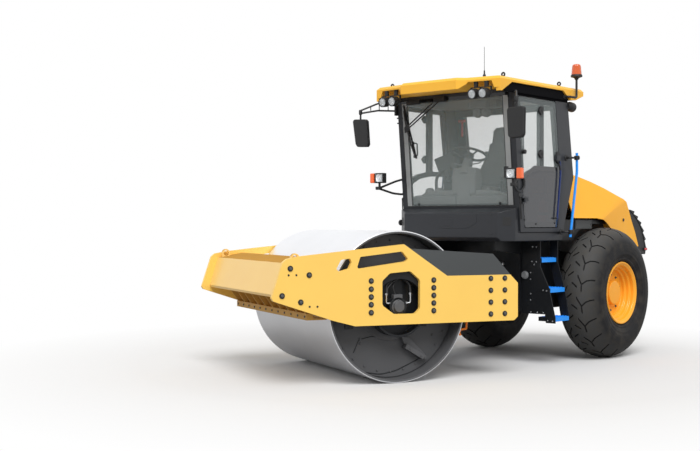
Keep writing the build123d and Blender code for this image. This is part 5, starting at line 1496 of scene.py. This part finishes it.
def skinned(node, name, middle, size):
    """A slightly small copy of a CAD solid, with an even skin."""
    bm = copied(node)
    bmesh.ops.translate(bm, vec=-middle, verts=bm.verts)
    bmesh.ops.scale(bm, vec=[(side - 2 * SHRINK) / side for side in size], verts=bm.verts)
    bmesh.ops.translate(bm, vec=middle, verts=bm.verts)
    mesh = bpy.data.meshes.new(name)
    bm.to_mesh(mesh)
    bm.free()
    pad = bpy.data.objects.new(name, mesh)
    bpy.context.scene.collection.objects.link(pad)
    remesh = pad.modifiers.new("even_skin", "REMESH")
    remesh.mode, remesh.voxel_size = "VOXEL", VOXEL
    made_real(pad)
    return pad


def puffed(pad):
    """Blows a pad up, with no point moving further than the swell."""
    before = [vert.co.copy() for vert in pad.data.vertices]
    cloth = pad.modifiers.new("puff", "CLOTH")
    cloth.settings.use_pressure = True
    cloth.settings.uniform_pressure_force = PUFF_PRESSURE
    cloth.settings.effector_weights.gravity = 0
    for step in range(1, PUFF_FRAMES + 1):
        bpy.context.scene.frame_set(step)
    made_real(pad)
    bpy.context.scene.frame_set(1)
    for vert, old in zip(pad.data.vertices, before):
        moved = vert.co - old
        vert.co = old + moved * min(1, SWELL / max(moved.length, 1e-9))


print(f"skin of {VOXEL} m cells, swelling by up to {SWELL} m")

# %% [markdown]
# Above the cushion the pad is the seat's back. It narrows at the shoulders and again
# at the neck, and it leans. The channels are pressed towards the pad's own middle.

# %% Shape a pad and press its channels
BACK_FOOT, LEAN_FROM, LEAN_TO, LEAN_BACK = 2.02, 2.16, 2.62, 0.085
SHOULDER, NECK, CROWN_HEIGHT = 2.52, 2.57, 0.05
BELL = 2.718      # the base of a bell curve, which is a channel's section


def ramp(value, low, high):
    """0 below low, 1 above high, and a smooth S between them."""
    part = min(1, max(0, (value - low) / (high - low)))
    return part * part * (3 - 2 * part)


def leaned(pad, top):
    """Narrows a seat's back to a headrest and leans it."""
    for vert in pad.data.vertices:
        here = REAR.inverted() @ vert.co
        if here.z > BACK_FOOT:
            narrow = (1 - 0.40 * ramp(here.z, LEAN_FROM, SHOULDER)
                      - 0.17 * ramp(here.z, SHOULDER, NECK)
                      - 0.16 * ramp(here.z, top - CROWN_HEIGHT, top))
            vert.co.y = REAR.translation.y + here.y * narrow
            vert.co.x -= LEAN_BACK * ramp(here.z, LEAN_FROM, LEAN_TO)


def stuffed(node, name, channels):
    """A padded copy of a CAD solid with channels pressed in at some distances."""
    low, high = (Vector(corner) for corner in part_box(node))
    middle = (low + high) / 2
    pad = skinned(node, name, middle, high - low)
    leaned(pad, high.z)
    if SWELL:
        puffed(pad)
    for vert in pad.data.vertices:
        out = vert.co - middle
        for place, along, width, depth in channels:
            gap = (vert.co - REAR @ Vector(place)).dot(Vector(along)) / width
            if abs(gap) < 3:
                vert.co -= out.normalized() * depth * BELL ** (-gap * gap)
    pad.data.materials.clear()
    pad.data.materials.append(seat_fabric)
    pad.data.shade_smooth()
    rounder = pad.modifiers.new("rounder", "SUBSURF")
    rounder.levels = rounder.render_levels = 1
    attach(pad, body_of[node])
    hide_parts(node)
    print(f"{name}: {len(pad.data.polygons)} faces")


print(f"channels are bell curves; the back leans by {LEAN_BACK} m")

# %% [markdown]
# A channel is given by a point on it, the direction across it, its width and its depth.
# The deep, broad one on the back is the fold between the shoulders and the headrest.

# %% Cushion and back
CHANNEL, FILL = 0.006, 0.8
cushion_seams = [((x, 0, 0), (1, 0, 0), CHANNEL, 0.007) for x in (-0.20, -0.40)]
cushion_seams += [((0, y, 0), (0, 1, 0), CHANNEL, 0.006) for y in (0.165, -0.165)]
back_seams = [((0, 0, z), (0, 0, 1), CHANNEL, 0.007) for z in (2.16, 2.30, 2.44)]
back_seams += [((0, y, 0), (0, 1, 0), CHANNEL, 0.006) for y in (0.155, -0.155)]
back_seams += [((0, 0, 2.56), (0, 0, 1), 0.016, 0.012)]
stuffed("seat_cushion", "seat_cushion_padded", cushion_seams)
stuffed("seat_back", "seat_back_padded", back_seams)

# %% [markdown]
# ## Inside the cab
# The cab is seen through clear glass from every side, so it is furnished. Its trims are
# paler than the outside, because little light reaches them. The steering wheel has
# three spokes and a knob, and stands on a boxed column with a pod and two stalks.

# %% Steering wheel and column
trim_grey = moulded("trim_grey", (0.155, 0.158, 0.156), 0.6)
trim_dark = moulded("trim_dark", (0.034, 0.035, 0.037), 0.55)
WHEEL, WHEEL_AXIS = Vector((0, 0, 2.385)), Vector((-0.35, 0, 1)).normalized()
WHEEL_RADIUS, GRIP = 0.196, 0.0145
across, ahead = Vector((0, 1, 0)), Vector((0, 1, 0)).cross(WHEEL_AXIS)
grip = [(WHEEL_RADIUS + out, along) for along, out in circle(GRIP, 12)]
bm = turned(bmesh.new(), grip, REAR @ WHEEL, WHEEL_AXIS, 72, closed=True)
turned(bm, [(0, 0.012), (0.040, 0.010), (0.052, 0.000), (0.056, -0.020), (0.044, -0.050),
            (0.030, -0.058), (0, -0.058)], REAR @ WHEEL, WHEEL_AXIS, 40)
for turn in (0.5, pi - 0.5, pi * 1.5):
    out = across * cos(turn) + ahead * sin(turn)
    bar(bm, [WHEEL + out * 0.035 - WHEEL_AXIS * 0.030, WHEEL + out * 0.110 - WHEEL_AXIS * 0.026,
             WHEEL + out * WHEEL_RADIUS], 0.0105, 0.05, 5, REAR)
turned(bm, [(0, 0.052), (0.018, 0.050), (0.023, 0.040), (0.020, 0.012), (0.010, 0), (0, 0)],
       REAR @ (WHEEL + across * WHEEL_RADIUS * 0.9 - ahead * WHEEL_RADIUS * 0.4), WHEEL_AXIS, 20)
finished(bm, "steering_wheel", "rear_chassis", trim_dark, stands_for="steering_column")
bm = bmesh.new()
low, high = WHEEL - WHEEL_AXIS * 0.060, WHEEL - WHEEL_AXIS * 0.230
turned(bm, [(0, 0), (0.040, 0), (0.055, 0.030), (0.060, 0.110), (0.072, 0.190), (0, 0.190)],
       REAR @ low, -WHEEL_AXIS, 32)
plate(bm, [(-0.070, -0.095, 1.505), (0.130, -0.095, 1.505), (0.128, -0.095, 2.110),
           (0.105, -0.095, 2.235), (0.010, -0.095, 2.225), (-0.020, -0.095, 2.120)],
      (0, 0.190, 0), 0.020, REAR)
plate(bm, [(-0.035, -0.165, 2.120), (0.010, -0.165, 2.215), (0.105, -0.165, 2.225),
           (0.128, -0.165, 2.100), (0.120, -0.165, 1.930), (0.000, -0.165, 1.900)],
      (0, 0.330, 0), 0.022, REAR)
for way in WAYS:
    bar(bm, [high + Vector((0, way * 0.040, 0.090)), high + Vector((-0.030, way * 0.150, 0.105)),
             high + Vector((-0.045, way * 0.185, 0.120))], 0.0065, 0.03, 4, REAR)
brick(bm, (-0.050, -0.230, 1.506), (0.080, -0.130, 1.640), 0.020, REAR)
finished(bm, "column_shroud", "rear_chassis", trim_grey)

# %% [markdown]
# The display stands on a bent arm beside the wheel and leans towards the seat. It is
# drawn about its own middle, so that one matrix can lean the shell and the glass.

# %% Display
bm, glass = bmesh.new(), bmesh.new()
bar(bm, [(-0.010, -0.480, 1.900), (-0.010, -0.480, 2.120), (-0.015, -0.380, 2.240)], 0.018,
    0.08, 6, REAR)
display = Matrix.Translation((-0.020, -0.335, 2.300)) @ Matrix.Rotation(0.30, 4, "X")
plate(bm, [(0.050, -0.135, 0.085), (-0.030, -0.135, 0.100), (-0.055, -0.135, -0.060),
           (0.020, -0.135, -0.085)], (0, 0.270, 0), 0.012, REAR @ display)
brick(bm, (-0.052, 0.060, -0.120), (0.040, 0.150, 0.030), 0.016, REAR @ display)
plate(glass, [(-0.0345, -0.115, 0.085), (-0.0345, 0.115, 0.085), (-0.0555, 0.115, -0.050),
              (-0.0555, -0.115, -0.050)], (-0.003, 0, 0), 0, REAR @ display)
finished(bm, "display_on_arm", "rear_chassis", trim_dark)
finished(glass, "display_glass", "rear_chassis", border_black)

# %% [markdown]
# Beside the seat an armrest on each side carries two levers in gaiters, stepped like a
# bellows, and six push buttons.

# %% Seat frame, consoles and levers
bm = ease(copied("seat_base"), 0.008)
finished(bm, "seat_base_trimmed", "rear_chassis", trim_dark, stands_for="seat_base")
GAITER = [(0, 0.070), (0.014, 0.066), (0.020, 0.050), (0.026, 0.044), (0.030, 0.026),
          (0.038, 0.020), (0.042, 0), (0, 0)]
KNOB = [(0, 0.030), (0.014, 0.026), (0.019, 0.010), (0.018, -0.010), (0.010, -0.028),
        (0, -0.030)]
LEVER_AXIS = (0.2, 0, 1)
bm = bmesh.new()
for way in WAYS:
    plate(bm, [(-0.500, way * 0.300, 2.080), (-0.180, way * 0.300, 2.080),
               (-0.150, way * 0.300, 2.100), (-0.190, way * 0.300, 2.128),
               (-0.490, way * 0.300, 2.128)], (0, way * 0.110, 0), 0.010, REAR)
    for x, height in ((-0.180, 0.190), (-0.120, 0.130)):
        base = Vector((x, way * 0.420, 2.075))
        turned(bm, GAITER, REAR @ base, LEVER_AXIS, 24)
        bar(bm, [base + Vector((0, 0, 0.04)), base + Vector((0.018, 0, height * 0.6)),
                 base + Vector((0.030, 0, height))], 0.006, 0.04, 4, REAR)
        turned(bm, KNOB, REAR @ (base + Vector((0.032, 0, height))), LEVER_AXIS, 20)
    for row in range(3):
        for column in range(2):
            place = Vector((-0.290 - 0.040 * row, way * (0.420 + 0.022 * column), 2.080))
            brick(bm, place - Vector((0.013, 0.008, 0.004)), place + Vector((0.013, 0.008, 0.008)),
                  0.003, REAR)
    bar(bm, [(-0.500, way * 0.235, 2.120), (-0.520, way * 0.250, 2.040),
             (-0.520, way * 0.250, 1.920)], 0.014, 0.03, 4, REAR)
finished(bm, "consoles_and_levers", "rear_chassis", trim_dark)

# %% [markdown]
# Under the screen runs a moulded shelf with two round vents. It is the CAD part without
# its upper pieces, which are drawn afresh, and the holes they leave are filled. A
# headlining, a floor mat, a box and two fans complete the roof and the floor.

# %% Shelf, headlining and fans
SHELF_TOP = 1.96
bm = ease(copied("dashboard"), 0.012)
above = [f for f in bm.faces if (REAR.inverted() @ f.calc_center_median()).z > SHELF_TOP]
bmesh.ops.delete(bm, geom=above, context="FACES")
bmesh.ops.holes_fill(bm, edges=[e for e in bm.edges if e.is_boundary])
finished(bm, "shelf", "rear_chassis", trim_grey, stands_for="dashboard")
bm = bmesh.new()
plate(bm, [(0.020, y, z) for y, z in ((-0.640, 1.915), (-0.560, 1.955), (-0.480, 1.975),
                                      (0.380, 1.968), (0.480, 1.940), (0.560, 1.915))],
      (0.085, 0, 0), 0.012, REAR)
for y in (-0.520, -0.380):
    turned(bm, [(0, 0.055), (0.030, 0.050), (0.050, 0.030), (0.056, 0), (0, 0)],
           REAR @ Vector((0.060, y, 1.955)), (0, 0, 1), 28)
brick(bm, (-0.700, -0.735, 2.972), (0.215, 0.735, 2.988), 0.006, REAR)
brick(bm, (-0.660, -0.730, 1.501), (0.110, 0.730, 1.512), 0.004, REAR)
brick(bm, (-0.100, 0.060, 2.890), (0.100, 0.440, 2.975), 0.012, REAR)
for rib in range(7):
    brick(bm, (0.098, 0.290 + rib * 0.022, 2.880), (0.108, 0.300 + rib * 0.022, 2.965), 0.002,
          REAR)
FAN = [(0, 0.040), (0.018, 0.040), (0.022, 0.034), (0.050, 0.030), (0.058, 0.018),
       (0.058, -0.012), (0.048, -0.024), (0.020, -0.040), (0, -0.040)]
for y in (0.130, 0.250):
    turned(bm, FAN, REAR @ Vector((0.020, y, 2.845)), (1, 0, 0), 32)
    bar(bm, [(0.020, y, 2.900), (0.010, y, 2.870)], 0.010, 0.02, 4, REAR)
finished(bm, "cab_trims", "rear_chassis", trim_grey)

# %% [markdown]
# Two red things show through the glass: a fire extinguisher on a bracket by the left
# door, and the escape hammer on the post behind the seat. Each door has a handle inside.

# %% Safety gear and inner handles
EXTINGUISHER = [(0, 0.270), (0.018, 0.268), (0.022, 0.250), (0.050, 0.232), (0.060, 0.200),
                (0.060, 0.012), (0.052, 0), (0, 0)]
bm = bmesh.new()
turned(bm, EXTINGUISHER, REAR @ Vector((-0.560, 0.620, 1.600)), (0, 0, 1), 36)
bar(bm, [(-0.745, -0.640, 2.660), (-0.748, -0.640, 2.860)], 0.014, 0.02, 5, REAR)
bar(bm, [(-0.745, -0.600, 2.850), (-0.745, -0.690, 2.850)], 0.016, 0.02, 5, REAR)
finished(bm, "safety_gear", "rear_chassis", safety_red)
bm = bmesh.new()
brick(bm, (-0.600, 0.600, 1.872), (-0.540, 0.640, 1.900), 0.006, REAR)
bar(bm, [(-0.560, 0.600, 1.885), (-0.510, 0.590, 1.860), (-0.490, 0.600, 1.720)], 0.008, 0.04, 5,
    REAR)
turned(bm, [(0.061, 0.100), (0.064, 0.098), (0.064, 0.072), (0.061, 0.070)],
       REAR @ Vector((-0.560, 0.620, 1.620)), (0, 0, 1), 36, closed=True)
brick(bm, (-0.768, -0.672, 2.690), (-0.758, -0.608, 2.830), 0.003, REAR)
finished(bm, "safety_brackets", "rear_chassis", trim_dark)
for side, way in SIDES:
    bm = bar(bmesh.new(), [(0.075, way * 0.756, 2.540), (0.030, way * 0.735, 2.540),
                           (0.020, way * 0.735, 2.400), (0.060, way * 0.756, 2.385)], 0.009, 0.03,
             6, REAR)
    for x, z in ((0.075, 2.540), (0.060, 2.385)):
        turned(bm, [(0, 0.008), (0.016, 0.007), (0.020, 0), (0, 0)],
               REAR @ Vector((x, way * 0.7535, z)), (0, -way, 0), 20)
    finished(bm, "inner_handle_" + side, "door_" + side, trim_dark)

# %% [markdown]
# ## Under the hood's edge and behind
# The bodywork ends in small, plain things: a grey locker lid on each side between the
# cab and the hood, the bolts of the rear weight, and the pads that the hood shuts on.

# %% Locker lids, bolts and pads
bm, grey = bmesh.new(), bmesh.new()
for way in WAYS:
    plate(grey, [(-1.100, way * 0.7205, 1.530), (-1.100, way * 0.7205, 1.636),
                 (-1.480, way * 0.7205, 1.636), (-1.480, way * 0.7205, 1.530)],
          (0, way * 0.010, 0), 0.004, REAR)
    bolts(bm, [(x, way * 0.7305, 1.583) for x in (-1.125, -1.455)], (0, way, 0), 0.008, 0.005,
          12, REAR)
    bolts(bm, [(-3.040, way * y, z) for y in (0.380, 0.500) for z in (0.860, 1.110)],
          (-1, 0, 0), 0.020, 0.016, 6, REAR)
    bar(bm, [(-2.960, way * 0.300, 1.170), (-2.960, way * 0.300, 1.192)], 0.03, 0.02, 4, REAR)
finished(bm, "body_bolts", "rear_chassis", bolt_grey)
finished(grey, "side_lockers", "rear_chassis", band_paint)

# %% [markdown]
# ## Engine
# With the hood up the engine shows. Its block is one CAD part, so what makes it read as
# an engine is bolted on top: a ribbed rocker cover, an air cleaner lying on its side,
# three fat pipes and two filters. All of it stays well below the closed hood.

# %% Rocker cover, air cleaner, pipes and filters
COVER_RIBS, RIB_PITCH = 9, 0.076
covers, cans, pipes = bmesh.new(), bmesh.new(), bmesh.new()
brick(covers, (-2.300, -0.150, 1.598), (-1.620, 0.150, 1.682), 0.018, REAR)
for rib in range(COVER_RIBS):
    x = -2.270 + RIB_PITCH * rib
    brick(covers, (x, -0.115, 1.678), (x + 0.024, 0.115, 1.692), 0.003, REAR)
    for way in WAYS:
        bolts(covers, [(x + 0.012, way * 0.133, 1.681)], (0, 0, 1), 0.009, 0.010, 6, REAR)
brick(covers, (-1.600, -0.380, 1.595), (-1.450, 0.380, 1.640), 0.012, REAR)
turned(cans, [(0, 0.380), (0.070, 0.380), (0.088, 0.366), (0.090, 0.300), (0.096, 0.296),
              (0.096, 0.284), (0.090, 0.280), (0.090, 0.020), (0.074, 0), (0, 0)],
       REAR @ Vector((-1.740, 0.290, 1.692)), (-1, 0, 0), 40)
for x in (-1.980, -2.060):
    turned(cans, [(0, 0.110), (0.034, 0.110), (0.044, 0.100), (0.044, 0.010), (0.036, 0), (0, 0)],
           REAR @ Vector((x, -0.430, 1.360)), (0, 0, 1), 28)
bar(pipes, [(-1.740, 0.290, 1.692), (-1.620, 0.290, 1.692), (-1.560, 0.290, 1.610)], 0.036, 0.06,
    8, REAR)
bar(pipes, [(-2.250, -0.290, 1.590), (-2.250, -0.290, 1.690), (-1.700, -0.290, 1.700),
            (-1.640, -0.290, 1.600)], 0.034, 0.09, 8, REAR)
bar(pipes, [(-2.440, 0.100, 1.590), (-2.440, 0.100, 1.650), (-2.520, 0.220, 1.640),
            (-2.520, 0.300, 1.500)], 0.024, 0.06, 8, REAR)
finished(covers, "engine_covers", "rear_chassis", engine_paint)
finished(cans, "engine_filters", "rear_chassis", black_plastic)
finished(pipes, "engine_pipes", "rear_chassis", hose_rubber)

# %% [markdown]
# ## Parts that keep their CAD shape
# The rear window is a plain bent pane, and the axle hides behind the wheels. Neither
# gains by being made again, so the CAD part itself is shown in the right material.

# %% Paint the CAD parts that keep their own shape
KEPT = {"rear_window": clear_glass, "rear_axle": frame_paint}
for node, finish in KEPT.items():
    mesh = frame["nodes"][node].data
    mesh.materials.clear()
    mesh.materials.append(finish)
print("kept as they are:", ", ".join(KEPT))

# %% [markdown]
# ## Floor
# A pale floor that runs out to white, so that the machine seems to stand in a studio
# with no corners. Close in it is an ordinary matt surface that keeps the shadows. It is
# paler to the camera than to other rays, so that it throws little light back up.

# %% Studio floor
FLOOR_RADIUS, FLOOR_DROP = 120, 0.001
WHITE_FROM, WHITE_TO = 3.4, 5.8    # metres from the middle
bm = bmesh.new()
bmesh.ops.create_circle(bm, cap_ends=True, segments=96, radius=FLOOR_RADIUS)
mesh = bpy.data.meshes.new("floor")
bm.to_mesh(mesh)
bm.free()
floor = bpy.data.objects.new("floor", mesh)
bpy.context.scene.collection.objects.link(floor)
floor.location.z = -FLOOR_DROP
pale = Finish("floor", roughness=0.9)
camera_only = pale.node("LightPath", out="Is Camera Ray")
pale.set("Base Color", pale.blend(camera_only, (0.40, 0.40, 0.40), (0.745, 0.74, 0.735)))
pale.set("Specular IOR Level", 0.1)
fx, fy, _ = pale.split(pale.places())
far = (fx * fx + fy * fy).of("SQRT").smooth(WHITE_FROM, WHITE_TO)
near_look = pale.tree.nodes["Principled BSDF"].outputs[0]
white = pale.tree.nodes.new("ShaderNodeEmission")
to_white = pale.tree.nodes.new("ShaderNodeMixShader")
pale.tree.links.new((far * camera_only).socket, to_white.inputs[0])
pale.tree.links.new(near_look, to_white.inputs[1])
pale.tree.links.new(white.outputs[0], to_white.inputs[2])
pale.tree.links.new(to_white.outputs[0], pale.tree.nodes["Material Output"].inputs["Surface"])
mesh.materials.append(pale.material)
print(f"the floor turns white between {WHITE_FROM} and {WHITE_TO} m")

# %% [markdown]
